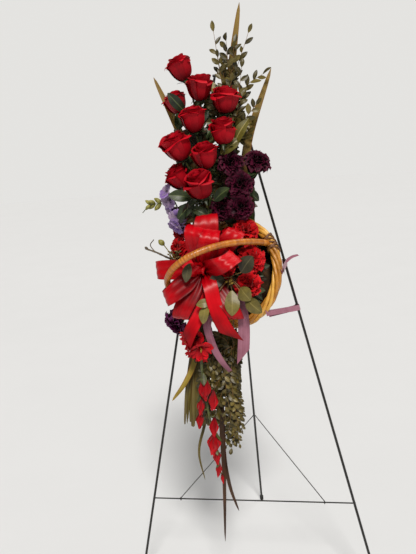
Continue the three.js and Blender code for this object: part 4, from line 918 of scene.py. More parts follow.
def carnation_greens():
    for name, heads in CARNATION_STEMS.items():
        form = Form()
        root = root_of(name)
        if len(root) > 1:
            form.stem(root, 8, 2.1, 7, 0, 0.4)
        for i, (kind, which, by) in enumerate(heads):
            centre, axis, size = CARNATIONS[kind][which]
            axis = unit(axis)
            cup = np.array(centre) - 0.65 * CARNATION_RADIUS * size * axis
            t = np.linspace(0, 1, 9)
            swell = 2.2 + 5.4 * np.sin(math.pi / 2 * t) ** 1.2
            form.tube(cup + np.outer(-13 + 20 * t, axis), swell, 10, 0, 0.6)
            x, y = axes_for(axis)[:2]
            for k in range(5):
                out = outward(x, y, 1.257 * k)
                way = [cup + 2.4 * out - 12 * axis, cup + 6.6 * out - 2 * axis, cup + 10 * out + 8 * axis]
                small_leaf(form, way, 6, out, 3, 0.1, 1, 0.2 * k)
            stalk = [root[-1], *by, cup - 12 * axis]
            form.stem(stalk, 20, 2.1, 7, 0, 0.2 * i)
            blade_at = nearest_on(stalk, cup - 34 * axis)
            for sign in (-1, 1):
                tip = blade_at + 26 * axis + sign * 20 * x + 6 * y
                small_leaf(form, [blade_at, (blade_at + tip) / 2 + 6 * axis, tip], 8, y, 2.6, 0.4, 1, 0.5)
        if name == "dark_carnation_greens":
            ways = [[root[-1], np.array(CARNATIONS["dark_carnation"][i][0]) + (0, 20, 0)] for i in range(5)]
            rng = np.random.default_rng(77)
            fill_leaves(form, ways, (-16, -20, 972), (62, 6, 1096), 30, (1, 1, 2), (-0.2, -0.9, 0.3), rng)
        if name == "red_carnation_greens":
            mouth_leaves(form)
        form.piece(f"{name}_leafy", [green_stem, rose_leaf, brown_leaf], [name], "stem_green")


# Long leaves: the same spines as in the part

def sword(half, count):
    """Half widths along a leaf that is widest below its middle and ends in a point."""
    a = np.linspace(0, 1, count)
    swell = 0.35 + 0.65 * np.sin(math.pi * np.minimum(0.5, a * 1.2))
    return 0.4 + half * swell * np.sqrt(np.maximum(0, 1 - a**3))


# Each long leaf or bunch of them: its finish, slot, half width, the way its front faces, its spines
LONG_LEAVES = {
    "sword_leaf_centre": (sword_blade, "sword_leaf", 14, (0.1, -1, 0.1),
                          [((6, 40, 1060), (18, 64, 1270), (58, 80, 1494))]),
    "sword_leaf_left": (sword_blade, "sword_leaf", 11.5, (0.1, -1, 0.1),
                        [((-62, 50, 1040), (-115, 58, 1200), (-168, 62, 1338))]),
    "sword_leaf_right": (sword_blade, "sword_leaf", 13, (0.1, -1, 0.1),
                         [((44, 22, 1030), (54, 38, 1140), (124, 58, 1325))]),
    "flax_leaf_olive": (olive_blade, "flax_olive", 9, (-0.4, -0.9, 0.5),
                        [((-98, -24, 690), (-106, -48, 626), (-132, -62, 576), (-167, -70, 534))]),
    "flax_leaves_bronze": (bronze_blade, "flax_bronze", 7, (-0.3, -0.95, 0), [
        ((-44, -36, 640), (-52, -34, 500), (-56, -40, 330), (-66, -50, 152)),
        ((-48, -32, 640), (-50, -30, 500), (-52, -38, 370), (-42, -46, 296), (-25, -50, 236)),
    ]),
    "bear_grass": (grass_blade, "bear_grass", 4.5, (-0.3, -0.95, 0), [
        ((-90, -2, 690), (-104, -8, 620), (-134, -24, 520), (-142, -28, 457)),
        ((-82, 0, 690), (-92, -4, 620), (-118, -14, 520), (-126, -18, 468)),
        ((-72, 2, 690), (-76, 0, 620), (-94, -10, 470), (-118, -24, 380), (-108, -28, 306)),
    ]),
}


def long_leaves():
    rng = np.random.default_rng(8)
    for name, (material, slot, half, facing, ways) in LONG_LEAVES.items():
        form = Form()
        root = root_of(name)
        fold = 0.18 if slot == "sword_leaf" else 0.35
        for way in ways:
            spine = curve([*root, *way], 48)
            form.leaf(spine, unit(facing), sword(half, 48), fold, 8, 0, rng.uniform(0, 1), 0.05)
        if name == "bear_grass":
            strap_bundle(form, root, unit(facing), rng)
        form.piece(f"{name}_blade", [material], [name], slot)


def strap_bundle(form, root, facing, rng):
    """The hanging bundle of olive straps between the first blades."""
    for k in range(20):
        share = k / 19
        foot = np.array((-116 + 38 * share, -4 - 26 * rng.uniform(0, 1), 640))
        tip = np.array((-146 + 62 * share, -34 + rng.uniform(-10, 8), rng.uniform(448, 496)))
        middle = 0.5 * (foot + tip) + (rng.uniform(-4, 4), -6, 0)
        spine = curve([*root, foot + (12, 6, 50), foot, middle, tip], 44)
        face = unit(facing + rng.uniform(-0.5, 0.5, 3) * (1, 0.3, 0))
        half = rng.uniform(4.2, 5.8) * (0.6 + 0.4 * blend_in(np.linspace(0, 1, 44), 0.1, 0.6))
        form.leaf(spine, face, half * sword(1, 44), 0.3, 6, 0, rng.uniform(0, 1), 0.1)


# The tall spray behind the roses: its five stems, and shorter ones between them
TALL_STEMS = [
    ((6, 36, 1290), (-6, 32, 1424)), ((34, 38, 1300), (76, 42, 1412)),
    ((44, 32, 1250), (68, 30, 1290), (104, 32, 1310)), ((24, 44, 1280), (34, 48, 1340), (42, 50, 1392)),
    ((14, 22, 1260), (10, 20, 1340)),
]
TALL_FILLERS = [
    ((10, 20, 1260), (2, 14, 1360)), ((30, 20, 1270), (22, 16, 1370)), ((40, 18, 1240), (56, 16, 1330)),
    ((8, 10, 1230), (30, 4, 1300)), ((48, 14, 1200), (84, 10, 1238)), ((14, 30, 1240), (14, 26, 1330)),
    ((-8, 24, 1220), (-22, 20, 1260)), ((40, 26, 1160), (70, 20, 1190)), ((26, 24, 1280), (40, 28, 1380)),
    ((20, 10, 1220), (14, 6, 1290)), ((34, 8, 1210), (52, 8, 1260)), ((24, 28, 1300), (22, 40, 1400)),
]
# The low spray: stems with dark broad leaves, with paler ovals, and ferny ones
LOW_STEMS = [
    ((-22, -36, 600), (-34, -34, 520), (-44, -28, 440), (-50, -26, 400)),
    ((-8, -36, 600), (-14, -34, 540), (-14, -30, 470), (-18, -28, 424)),
    ((-34, -24, 600), (-54, -20, 520), (-60, -16, 450)), ((-14, -16, 580), (-22, -8, 500), (-28, -6, 430)),
]
LOW_FILLERS = [
    ((-26, -44, 600), (-34, -44, 520)), ((-10, -44, 600), (-14, -42, 520), (-20, -36, 430)),
    ((-40, -34, 620), (-62, -38, 560), (-76, -40, 500)), ((-16, -52, 600), (-30, -52, 520), (-36, -44, 440)),
    ((-6, -30, 620), (-10, -26, 560), (-14, -30, 500)), ((-24, -20, 600), (-40, -14, 500), (-52, -20, 420)),
    ((-12, -30, 560), (-20, -24, 460), (-34, -26, 390)), ((-34, -46, 680), (-58, -52, 650), (-84, -50, 610)),
    ((-4, -46, 690), (2, -44, 660)), ((-20, -50, 640), (-20, -54, 570)),
    ((-30, -50, 660), (-48, -56, 640), (-62, -56, 590)), ((-44, -46, 600), (-66, -48, 550), (-78, -48, 500)),
    ((-38, -56, 690), (-62, -60, 672)), ((-40, -44, 560), (-58, -46, 510), (-70, -46, 462)),
    ((-40, -40, 680), (-76, -44, 664), (-94, -48, 640)), ((-50, -40, 640), (-80, -42, 600), (-96, -42, 560)),
    ((-50, -36, 620), (-74, -38, 560), (-92, -38, 510)), ((-60, -60, 640), (-84, -66, 610), (-92, -64, 570)),
    ((-56, -58, 610), (-86, -62, 560), (-88, -60, 520)), ((-60, -52, 560), (-86, -56, 520), (-90, -52, 480)),
    ((-40, -56, 660), (-66, -66, 636), (-78, -70, 600)),
]
LOW_OVALS = [
    ((-36, -66, 650), (-33, -70, 610), (-31, -70, 574), (-36, -68, 530), (-40, -64, 480)),
    ((-52, -62, 640), (-64, -64, 600), (-68, -62, 560)), ((-18, -58, 560), (-14, -58, 510), (-10, -52, 462)),
]
LOW_FERNS = [
    ((-14, -48, 600), (-14, -46, 550), (-8, -44, 500), (-2, -42, 446)),
    ((-18, -50, 590), (-24, -48, 540), (-22, -44, 480), (-24, -40, 416)),
    ((-12, -44, 580), (-6, -42, 530), (2, -40, 478)), ((-14, -46, 560), (-18, -44, 500), (-12, -38, 408)),
    ((-16, -50, 570), (-26, -50, 500), (-36, -46, 440)),
]


def sprays():
    front = unit((-0.1, -0.95, 0.25))
    tall = Form()
    knot = np.array((26, 34, 1180.0))
    tall.stem([*root_of("ruscus"), (26, 24, 1060), knot], 30, 1.9, 6, 1, 0.3)
    for i, way in enumerate(TALL_STEMS):
        leafy(tall, [knot, *way], 10, 32, 13, front, 0, 20 + i, 0.2, 0.8)
    for i, way in enumerate(TALL_FILLERS):
        leafy(tall, [knot, *way], 11, 30, 15, front, 0, 120 + i, 0.15)
    tall.piece("ruscus_leafy", [ruscus_leaf, woody_stem], ["ruscus"], "ruscus")

    low = Form()
    knot = np.array((-8, -40, 655.0))
    low.stem([*root_of("huckleberry"), knot], 24, 2.1, 6, 2, 0.3)
    for i, way in enumerate([*LOW_STEMS, *LOW_FILLERS]):
        leafy(low, [knot, *way], 20, 23, 14, front, 0, 30 + i, 0.03, 0.9, 1.2, 2)
    for i, way in enumerate(LOW_OVALS):
        leafy(low, [knot + (-4, -12, 10), *way], 16, 17, 11, front, 1, 160 + i, 0.05, 0.7, 0.9, 2)
    for i, way in enumerate(LOW_FERNS):
        leafy(low, [knot, *way], 52, 17, 8.5, front, i % 2, 190 + i, 0.02, 1.1, 1.1, 2)
    finishes = [berry_leaf, light_leaf, woody_stem]
    low.piece("huckleberry_leafy", finishes, ["huckleberry"], "huckleberry")


# Each leaf of the eucalyptus: where it starts and ends, its half width, and its finish: 3 for the
# darker copy of the leaf finish, painted shade on the leaves that lie in shade, and 0 for the lit ones
EUCALYPTUS_LEAVES = [
    ((30, -128, 858), (56, -138, 892), 17, 3), ((-10, -122, 846), (-42, -128, 836), 14, 3),
    ((6, -130, 818), (4, -146, 768), 15, 0), ((26, -132, 824), (46, -148, 800), 15, 0),
    ((36, -136, 800), (68, -154, 772), 14, 0), ((-84, -146, 888), (-94, -150, 850), 10, 3),
    ((-50, -146, 790), (-62, -152, 752), 12, 0), ((-40, -142, 796), (-72, -148, 792), 9, 0),
]


def eucalyptus():
    rng = np.random.default_rng(12)
    form = Form()
    front = unit((-0.1, -0.95, 0.25))
    node = np.array((2, -118, 846.0))
    form.stem([*root_of("eucalyptus"), node], 8, 1.7, 6, 1, 0.4)
    for start, end, half, finish in EUCALYPTUS_LEAVES:
        stalk = [node, (node + start) / 2 + (0, -3, 2), start]
        if start[0] < -80:
            # The leaf at the far left has a short stalk of its own, out of the bow
            stalk = [np.add(start, (12, 44, -8)), start]
        form.stem(stalk, 10, 0.9, 6, 1, 0.7)
        far = start + 1.1 * (np.array(end) - start)
        face = unit(front + rng.uniform(-0.3, 0.3, 3))
        broad_leaf(form, start, far, 1.13 * half, face, finish, rng.uniform(0.1, 0.9), 0.1, 0.05, 0.12)
    for middle, count, reach in (((-12, -130, 789), 13, 9), ((4, -126, 838), 9, 8)):
        middle = np.array(middle, float)
        form.stem([node, (node + middle) / 2, middle + (0, 3, 4)], 8, 0.8, 5, 1, 0.6)
        for _ in range(count):
            at = middle + rng.normal(0, 1, 3) * reach * 0.5
            form.tube([middle, (middle + at) / 2 + (0, 0, 1), at], 0.4, 4, 1, 0.5)
            spindle(form, at - (0, 0, 2.4), at + (0, 0, 2.4), 2.4, 2, rng.uniform(0, 1), 0, 7, 0.5)
    finishes = [gum_leaf, woody_stem, seed_skin, gum_painted_shade]
    form.piece("eucalyptus_leafy", finishes, ["eucalyptus"], "eucalyptus")


FREESIA_STEM = [
    (-98, 18, 938), (-106, 8, 962), (-112, 4, 985), (-140, 2, 1014), (-170, -4, 1021), (-192, -8, 1020),
    (-212, -12, 1002),
]
# No bud reaches further left than this
FREESIA_END = -214
FREESIA_BUDS = [(-164, -3, 1020), (-178, -6, 1021), (-190, -8, 1020), (-202, -10, 1012), (-211, -12, 1004)]
# Each open freesia: the middle of its mouth, and its radius
FREESIA_MOUTHS = [
    ((-154, -28, 1056), 19), ((-146, -34, 1026), 20), ((-154, -24, 1000), 18), ((-122, -42, 984), 22),
    ((-136, -34, 957), 20), ((-118, -34, 950), 15),
]


def freesia(form, base, tip, mouth, seed):
    """A funnel flower with two whorls of petals that open to rounded, waved lobes."""
    rng = np.random.default_rng(seed)
    way = np.array(tip, float) - base
    length = 1.02 * np.linalg.norm(way)
    axes = axes_for(way, 0.7 * seed)
    t = np.linspace(0, 1, 14)[:, None]
    s = np.linspace(-1, 1, 9)[None]
    open_up = blend_in(t, 0.35, 1.0)
    lobe = np.where(t < 0.55, 1.0, np.sqrt(np.clip(1 - ((t - 0.55) / 0.47) ** 2, 0.001, 1)))
    height = length * t * (1 - 0.3 * open_up**3)
    for k in range(6):
        waves = 0.05 * mouth * t**2 * np.sin(3 * math.pi * s + rng.uniform(0, 6))
        radius = mouth * (0.14 + 0.22 * t + (0.72 - 0.1 * (k % 2)) * open_up**1.3)
        radius = radius + waves + 0.08 * mouth * s**2 * open_up
        turn = math.pi / 3 * k + s * math.pi / 6 * 1.35 * lobe
        points = round_axis(base, axes, radius, turn, height + 0.8 * waves)
        form.grid(points, 0, rng.uniform(0, 0.7))


def freesias():
    stem = [*root_of("freesia_greens"), *FREESIA_STEM]
    stalk = [nearest_on(stem, (-106, 4, 960)), (-116, -8, 978), (-124, -8, 1010), (-136, -10, 1040)]
    flowers = Form()
    flowers.stem(stalk, 16, 1.8, 7, 1, 0.4)
    for i, (tip, mouth) in enumerate(FREESIA_MOUTHS):
        freesia(flowers, nearest_on(stalk, tip), tip, mouth, 60 + i)
    flowers.piece("freesia_blooms", [lilac_petal, green_stem], ["freesia_flowers"], "freesia")

    greens = Form()
    greens.stem(stem, 60, np.linspace(1.9, 0.9, 60), 6, 0, 0.4)
    for i, at in enumerate(FREESIA_BUDS):
        for sign in (-1, 1):
            way = unit((-0.8, -0.2 + 0.3 * sign, (0.7 if i % 2 == 0 else -0.5) * sign))
            tip = np.array(at) + way * (24 - 2.6 * i)
            if tip[0] > FREESIA_END:
                spindle(greens, at, tip, 5.8 - 0.7 * i, 1, 0.2 * i, 1.2, 8, 0.5)
                small_leaf(greens, [at, at + way * 5, at + way * 10], 6, (0, -1, 0), 2.6, 0.5, 2, 0.5)
    greens.piece("freesia_buds", [green_stem, bud_skin, rose_leaf], ["freesia_greens"], "bud_green")


def bare_twig():
    """A bare twig with buds, and the tuft of dried blossom beside it."""
    twig = Form()
    way = [*root_of("twig"), (-138, 26, 868), (-158, -6, 884), (-186, -18, 902), (-212, -20, 913)]
    knobbly = np.linspace(3.0, 2.1, 70) * (1 + 0.16 * np.sin(np.arange(70) * 0.9) ** 3)
    twig.stem(way, 70, knobbly, 8, 0, 0.5)
    twig.stem([(-188, -18, 903), (-198, -19, 921), (-188, -19, 934)], 14, 1.2, 6, 0, 0.6)
    twig.stem([(-150, 10, 876), (-156, -4, 900), (-168, -12, 922)], 10, 1.3, 6, 1, 0.4)
    spindle(twig, (-164, -10, 917), (-177, -16, 932), 7.2, 1, 0.5, 0, 10, 0.5)
    spindle(twig, (-204, -20, 911), (-213, -20, 917), 3.2, 0, 0.3, 0, 7)
    rng = np.random.default_rng(19)
    for _ in range(34):
        at = np.array((-136, -28, 889)) + rng.uniform(-1, 1, 3) * (17, 10, 15)
        twig.tube([(-130, 10, 868), 0.5 * (at + (-132, 0, 872)), at], 0.5, 4, 1, 0.3)
        radius, tint = rng.uniform(2.0, 3.4), rng.uniform(0, 1)
        spindle(twig, at - (0, 0, 2), at + (0, 0, 2.4), radius, 2, tint, 0, 7, 0.5)
    twig.piece("twig_bark", [bark, bud_skin, husk], ["twig"], "twig")


def ruffled_trumpet(form, base, tip, mouth, seed):
    """A gladiolus floret: six broad overlapping petals with ruffled edges round a deep throat."""
    rng = np.random.default_rng(seed)
    length = np.linalg.norm(tip - base)
    x, y, z = axes_for(tip - base, 0.9 * seed)
    t = np.linspace(0, 1, 18)[:, None]
    s = np.linspace(-1, 1, 15)[None]
    flare = blend_in(t, 0.3, 1.0)
    width = np.where(t < 0.62, 1, np.sqrt(np.clip(1 - ((t - 0.62) / 0.42) ** 2, 0.002, 1)))
    edge = 0.05 * mouth * flare * s**2
    for k in range(6):
        angle = math.pi / 3 * k + rng.uniform(-0.12, 0.12)
        spread = rng.uniform(0.8, 1.1)
        radius = mouth * (0.12 + 0.24 * t + 0.64 * spread * flare**1.25) * (1.06 if k % 2 else 0.92)
        turn = angle + 0.95 * s * width * (1 - 0.2 * flare)
        height = length * (0.04 + 0.98 * t - 0.30 * spread * flare**3)
        wave = 0.12 * mouth * t**2.5 * np.sin(rng.uniform(1.1, 1.9) * math.pi * s + rng.uniform(0, 6))
        points = round_axis(base, (x, y, z), radius + 0.5 * wave - 0.3 * edge, turn, height + wave + edge)
        form.grid(points, 0, rng.uniform(0, 0.8))
    for k in range(3):
        anther = base + (0.7 + 0.05 * k) * length * z + 2 * x * (k - 1) + 2 * y
        form.tube([base + 0.3 * length * z, anther], 0.8, 5, 2, 0.5)


# Half-open flowers down the hanging stem: foot, tip and half width
GLADIOLUS_BUDS = [
    ((-82, -84, 606), (-82, -88, 532), 19), ((-92, -82, 552), (-97, -82, 494), 13),
    ((-62, -76, 566), (-66, -80, 508), 14), ((-98, -74, 510), (-104, -74, 458), 12),
    ((-66, -66, 492), (-72, -68, 436), 13), ((-68, -62, 450), (-78, -66, 388), 20),
    ((-70, -58, 406), (-68, -58, 360), 12), ((-64, -54, 368), (-70, -54, 326), 10),
    ((-61, -50, 336), (-59, -50, 306), 5),
]


def gladioli():
    spine = [(-66, -78, 716), (-84, -78, 640), (-84, -66, 540), (-74, -58, 440), (-68, -46, 330)]
    stem = Form()
    stem.stem([*root_of("gladiolus_greens"), (-62, -56, 740), spine[0]], 24, 2.8, 8, 0, 0.4)
    stem.piece("gladiolus_stem", [green_stem], ["gladiolus_greens"], "stem_green")
    form = Form()
    form.stem(spine, 50, np.linspace(4, 2.2, 50), 8, 1, 0.3)
    trumpets = [
        ((-76, -120, 666), (0.25, -0.8, -0.55), 29), ((-126, -102, 688), (-0.8, -0.5, -0.3), 27),
        ((-108, -98, 650), (-0.3, -0.7, -0.7), 19), ((-96, -112, 700), (-0.2, -0.9, 0.0), 27),
        ((-84, -96, 634), (-0.1, -0.6, -0.8), 15),
    ]
    for i, (tip, way, mouth) in enumerate(trumpets):
        tip = np.array(tip, float)
        throat = tip - 42 * unit(way)
        form.stem([nearest_on(spine, throat), throat, tip - 30 * unit(way)], 12, 3.4, 8, 0, 0.6)
        ruffled_trumpet(form, throat, tip, mouth, 70 + i)
    for i, (start, tip, radius) in enumerate(GLADIOLUS_BUDS):
        start, tip = np.array(start, float), np.array(tip, float)
        folded_bud(form, nearest_on(spine, start), start, tip, radius, 80 + i)
    finishes = [gladiolus_petal, green_stem, seed_skin]
    form.piece("gladiolus_blooms", finishes, ["gladiolus_flowers"], "gladiolus")


def folded_bud(form, stalk, base, tip, radius, seed):
    """A half-open flower: pointed petals folded over each other about the line from base to tip."""
    rng = np.random.default_rng(seed)
    form.stem([stalk, 0.5 * (stalk + base) + (0, -2, 0), base], 8, 2.0, 7, 1, 0.5)
    way = tip - base
    x, y, z = axes_for(way, seed)
    count = 14
    t = np.linspace(0, 1, count)
    peak = rng.uniform(0.42, 0.56)
    diamond = np.minimum(t / peak, (1 - t) / (1 - peak)) ** 0.75
    for k in range(5):
        out = outward(x, y, 2 * math.pi * k / 5 + rng.uniform(-0.3, 0.3))
        swell = out * radius * (0.55 - 0.05 * k)
        end = tip + rng.uniform(-0.35, 0.35) * radius * x + rng.uniform(-0.35, 0.35) * radius * y
        end = end - z * rng.uniform(0, 0.18) * np.linalg.norm(way)
        spine = curve([base, base + 0.3 * way + swell, base + 0.65 * way + swell, end], count)
        half = 0.3 + radius * rng.uniform(0.8, 1.0) * diamond
        form.leaf(spine, out, half, -0.55, 8, 0, rng.uniform(0, 0.9), 0.16)
    bract = [base - 3 * z, base + 0.12 * way + x * radius * 0.5, base + 0.3 * way + x * radius]
    small_leaf(form, bract, 7, x, 0.4 * radius, -0.3, 1, 0.5)


# Ribbons

def band(form, path, side, half, tint=0.5, columns=10, pleats=0.0, cut=0.0):
    """A ribbon along a path. side is the direction across it at each point, half its half width,
    pleats the height of its gathers, and cut slants its far end. Gives its flat area."""
    path = np.asarray(path, float)
    count = len(path)
    side = np.broadcast_to(np.asarray(side, float), (count, 3))
    side = side / np.linalg.norm(side, axis=1, keepdims=True)
    normal = np.cross(tangents(path), side)
    half = np.broadcast_to(np.asarray(half, float), (count,))
    pleats = np.broadcast_to(np.asarray(pleats, float), (count,))
    s = np.linspace(-1, 1, columns + 1)
    points = np.empty((count, columns + 1, 3))
    for j, across in enumerate(s):
        reach = np.linspace(0, 1, count) * (1 - cut * (across + 1) / 2) * (count - 1)
        step = np.arange(count)
        middle, way, lift = (
            np.stack([np.interp(reach, step, value[:, k]) for k in range(3)], axis=1)
            for value in (path, side, normal)
        )
        wide = np.interp(reach, step, half)
        fold = np.interp(reach, step, pleats) * math.cos(2.5 * math.pi * across)
        points[:, j] = middle + way * (wide * across)[:, None] + lift * fold[:, None]
    form.grid(points, 0, tint)
    width = 2 * half.mean()
    return width * np.linalg.norm(np.diff(path, axis=0), axis=1).sum() * (1 - cut / 2)


BOW_KNOT = np.array((-59, -94, 866.0))
BOW_KNOT_RADIUS = 16
LOOP_LAYERS = 56
# Each loop: its far end, half width, the gap between its layers, how its fold slants, and the way
# its front faces
LOOPS = [
    ((-46, -56, 988), 29, 44, 0.2, (0.1, -0.9, 0.2)), ((-64, -78, 966), 25, 52, -0.35, (-0.2, -0.95, 0.1)),
    ((-92, -126, 884), 17, 30, -0.3, (-0.4, -0.85, 0.1)), ((24, -88, 952), 24, 32, 0.3, (0.3, -0.9, 0.2)),
    ((18, -148, 898), 22, 44, 0.5, (0.3, -0.9, 0.1)), ((-150, -134, 806), 22, 34, -0.3, (-0.2, -0.9, -0.1)),
    ((-170, -30, 858), 23, 52, 0.12, (-0.4, -0.85, 0.15)),
    ((-118, -114, 752), 23, 36, 0.3, (-0.25, -1, -0.1)),
    ((12, -130, 750), 20, 30, -0.5, (0.3, -1, 0.1)), ((-30, -106, 958), 24, 46, 0.1, (0.1, -0.95, 0.3)),
]
# A loop as seen from its side, between its two ends in the knot: how far along it, and how high
# over its middle line
LOOP_PROFILE = [
    (0.14, 0.28), (0.34, 0.50), (0.6, 0.72), (0.8, 0.80), (0.94, 0.62), (1.0, 0.18), (0.97, -0.26),
    (0.84, -0.52), (0.62, -0.52), (0.38, -0.36), (0.16, -0.2),
]
# Each tail: its way down from the knot, and its half width
TAILS = [
    ([(-42, -136, 835), (-33, -148, 790), (-16, -152, 741), (10, -148, 698)], 17),
    ([(-58, -120, 797), (-79, -130, 756), (-98, -136, 723), (-112, -134, 690)], 16),
]


def loop_of_band(form, end, half, gap, slant, facing, tint):
    """One loop of ribbon from the knot out to its end and back; gives its flat area."""
    way = np.array(end, float) - BOW_KNOT
    side = unit(np.cross(way, facing))
    up = unit(np.cross(side, way))
    ends = 0.35 * BOW_KNOT_RADIUS / np.linalg.norm(way)
    profile = [(ends, 0.06), *LOOP_PROFILE, (ends, -0.1)]
    points = curve([BOW_KNOT + way * a + up * lift * gap for a, lift in profile], LOOP_LAYERS)
    a = np.linspace(0, 1, LOOP_LAYERS)
    along = np.minimum(a, 1 - a)
    spread = half * (0.24 + 0.8 * blend_in(along, 0, 0.22)) * (1 - 0.2 * np.sin(math.pi * a) ** 10)
    gathers = 0.6 + 4.2 * (1 - blend_in(along, 0.03, 0.27))
    lean = slant * np.sin(math.pi * a) ** 1.5
    return band(form, points, outward(side, unit(way), lean), spread, tint, 12, gathers)


def bow():
    form = Form()
    area = 0
    for i, (end, half, gap, slant, facing) in enumerate(LOOPS):
        # The loops that hang under the knot are in its shade, so they are deeper in tone
        tone = (0.37 * i) % 1 if end[2] > 840 else -0.75
        area += loop_of_band(form, end, half, gap, slant, facing, tone)
    for i, (way, half) in enumerate(TAILS):
        points = [BOW_KNOT + 0.25 * (np.array(way[0]) - BOW_KNOT), *way]
        side = unit(np.cross(np.array(points[-1]) - points[0], (-0.1, -0.95, 0.2)))
        a = np.linspace(0, 1, 48)
        spread = half * (0.5 + 0.5 * blend_in(a, 0, 0.2))
        gathers = 3.5 * (1 - blend_in(a, 0.02, 0.3))
        across = side + 0.45 * np.outer(np.sin(3.1 * a + i), OUT)
        area += band(form, curve(points, 48), across, spread, 0.4, 12, gathers, 0.2)
    bow_piece = form.piece("bow_loops", [red_satin], ["bow"], "red_ribbon")
    bow_knot()


def bow_knot():
    """The knot on its wired pick, with the middle loop: a wide wrap of ribbon, crumpled where it
    bulges out over the knot."""
    knot = Form()
    y = axes_for(OUT, 0.6)[1]
    spindle(knot, BOW_KNOT - 13 * y, BOW_KNOT + 13 * y, 11.5, 0, 0.3, 0, 14, 0.5)
    t = np.linspace(0, 2 * math.pi, 60)
    wide = unit((1, 0.25, -0.3))
    tall = unit(np.cross(OUT, wide))
    front = np.clip(np.sin(t), 0, 1)
    high = 13 + 4 * front
    out = 8 + 22 * np.sin(t) + 2.5 * front * np.sin(5 * t)
    ring = BOW_KNOT + np.outer(np.cos(t) * high, tall) + np.outer(out, OUT) + np.outer(front, (5, -14, 1))
    across = wide + np.outer(0.28 * np.sin(2.3 * t + 0.5), tall)
    band(knot, ring, across, 10 + 10 * front**0.7, 0.4, 14, 1.4 + 1.2 * front)
    knot.stem([*root_of("bow"), BOW_KNOT], 8, 1.7, 6, 1, 0.4)
    knot.piece("bow_centre", [red_satin, green_stem], [], "red_ribbon")


def mauve_ribbons():
    root = root_of("ribbon_tails")
    side = unit((0.9, -0.4, 0))
    ways = [
        ([(14, -102, 800), (24, -118, 784), (26, -112, 731), (16, -100, 632)], 14, 0.1),
        ([(-20, -98, 772), (-58, -106, 742), (-53, -105, 690), (-33, -95, 639), (-13, -85, 608)], 10, 0.06),
    ]
    form = Form()
    area = 0
    for i, (way, half, cut) in enumerate(ways):
        a = np.linspace(0, 1, 60)
        spread = 4 + (half - 4) * blend_in(a, 0, 0.4)
        across = side + 0.35 * np.outer(np.sin(5 * a + 2 * i), OUT)
        path = curve([*root, *way], 60)
        area += band(form, path, across, spread, 0.3 + 0.3 * i, 8, 0.8 * (1 - a), cut)
    piece = form.piece("mauve_tails", [mauve_satin], ["ribbon_tails"], "mauve_ribbon")


def on_right_leg(z):
    """The point of the right leg's middle line at a height."""
    foot = np.array((FOOT_HALF_SPAN, 0, 0.0))
    top = np.array((APEX_HALF_SPAN, APEX[1], APEX[2]))
    return foot + (top - foot) * z / APEX[2]


def ribbon_tie():
    form = Form()
    area = 0
    off = LEG_RADIUS + 1.6
    upright = unit(on_right_leg(1) - on_right_leg(0))

    def rim_at(turn, out):
        reach = RIM_RADIUS + RIM_THICK + 1.2
        return round_basket(reach, turn, out)

    for z, turn in ((843, 0.06), (727, -0.7)):
        at = on_right_leg(z)
        round_leg = [(off, -off), (off, off * 0.6), (0, off * 1.2), (-off, off * 0.6), (-off, -off)]
        points = [rim_at(turn, 6), *[at + (x, y, 0) for x, y in round_leg], rim_at(turn - 0.02, -8)]
        area += band(form, curve(points, 60), upright, 6.8, 0.4, 6)
    behind = [on_right_leg(z) + (0, off * 1.2, 0) for z in (846, 785, 724)]
    area += band(form, curve(behind, 20), (1, 0, 0.2), 3.4, 0.6, 4)
    beside = on_right_leg(843) + (off, 0, 2)
    loose = [beside, beside + (14, 4, 9), beside + (32, 8, 13)]
    area += band(form, curve(loose, 16), (0, 0.2, 1), np.linspace(5.5, 2.2, 16), 0.3, 5, 0, 0.1)
    piece = form.piece("mauve_tie", [mauve_satin], ["ribbon_tie"], "mauve_ribbon")


# Camera, light and floor. The camera is fitted to the picture: its place, the turns of its view in
# radians, and its focal length and shift in the picture's pixels.
EYE = np.array((139.0, -1566.0, 1109.0))
YAW, PITCH, ROLL = -0.228, 0.119, -0.092
PICTURE_HEIGHT = 554
FOCAL_LENGTH = 637.0
SHIFT = (66.1, -30.7)
SENSOR = 36
# Each sun: the way to it, its strength, its spread in degrees and its colour
SUNS = {
    "key": ((0.22, -0.95, 1.0), 3.2, 14, (1.0, 0.955, 0.89)),
    "rim": ((0.8, 0.55, 1.2), 0.6, 30, (1.0, 0.97, 0.93)),
}
# What lights the scene from all round, and what the camera sees there, each with its strength
AROUND = ((1.0, 0.96, 0.9, 1), 0.24)
WALL = ((1.0, 0.99, 0.963, 1), 0.778)


def studio():
    set_camera()
    lay_floor()
    set_world()
    for name, (way, strength, spread, colour) in SUNS.items():
        light = add_object(name, bpy.data.lights.new(name, "SUN"))
        light.data.energy = strength
        light.data.angle = math.radians(spread)
        light.data.color = colour
        light.rotation_mode = "QUATERNION"
        light.rotation_quaternion = Matrix(np.stack([*axes_for(way)], axis=1).tolist()).to_quaternion()
    bpy.context.scene.view_settings.view_transform = "Standard"


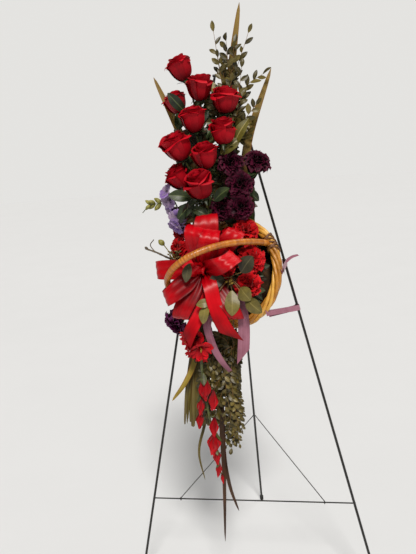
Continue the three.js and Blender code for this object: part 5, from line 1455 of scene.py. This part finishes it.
def set_camera():
    level = np.array((math.sin(YAW), math.cos(YAW), 0))
    forward = level * math.cos(PITCH) - np.array((0, 0, math.sin(PITCH)))
    right = np.array((math.cos(YAW), -math.sin(YAW), 0))
    up = np.cross(right, forward)
    tilted = right * math.cos(ROLL) + up * math.sin(ROLL)
    upright = up * math.cos(ROLL) - right * math.sin(ROLL)
    camera = add_object("camera", bpy.data.cameras.new("camera"))
    camera.data.sensor_width = SENSOR
    camera.data.lens = FOCAL_LENGTH / PICTURE_HEIGHT * SENSOR
    camera.data.shift_x = SHIFT[0] / PICTURE_HEIGHT
    camera.data.shift_y = SHIFT[1] / PICTURE_HEIGHT
    camera.data.clip_start, camera.data.clip_end = 0.05, 60
    turn = Matrix(np.stack([tilted, upright, -forward], axis=1).tolist()).to_4x4()
    camera.matrix_world = Matrix.Translation(placed(EYE).tolist()) @ turn
    bpy.context.scene.camera = camera


def lay_floor():
    floor = Form()
    x, y = np.meshgrid(np.linspace(-30000, 30000, 3), np.linspace(-30000, 30000, 3))
    floor.grid(np.stack([x, y, np.zeros_like(x)], axis=-1))
    stage = plain_finish("pale_floor", (219, 222, 226), (221, 224, 228), 3, 0.9, 0.02)
    piece = floor.piece("floor", [stage])
    piece.parent = None


def set_world():
    world = bpy.data.worlds.new("studio")
    bpy.context.scene.world = world
    world.use_nodes = True
    nodes, links = world.node_tree.nodes, world.node_tree.links
    dim, bright = nodes["Background"], nodes.new("ShaderNodeBackground")
    for node, (colour, strength) in ((dim, AROUND), (bright, WALL)):
        node.inputs[0].default_value = colour
        node.inputs[1].default_value = strength
    seen = nodes.new("ShaderNodeLightPath")
    choice = nodes.new("ShaderNodeMixShader")
    links.new(seen.outputs["Is Camera Ray"], choice.inputs[0])
    links.new(dim.outputs[0], choice.inputs[1])
    links.new(bright.outputs[0], choice.inputs[2])
    links.new(choice.outputs[0], nodes["World Output"].inputs[0])


studio()
basket()
foam_top()
roses()
carnations()
rose_greens()
carnation_greens()
long_leaves()
sprays()
eucalyptus()
freesias()
bare_twig()
gladioli()
bow()
mauve_ribbons()
ribbon_tie()
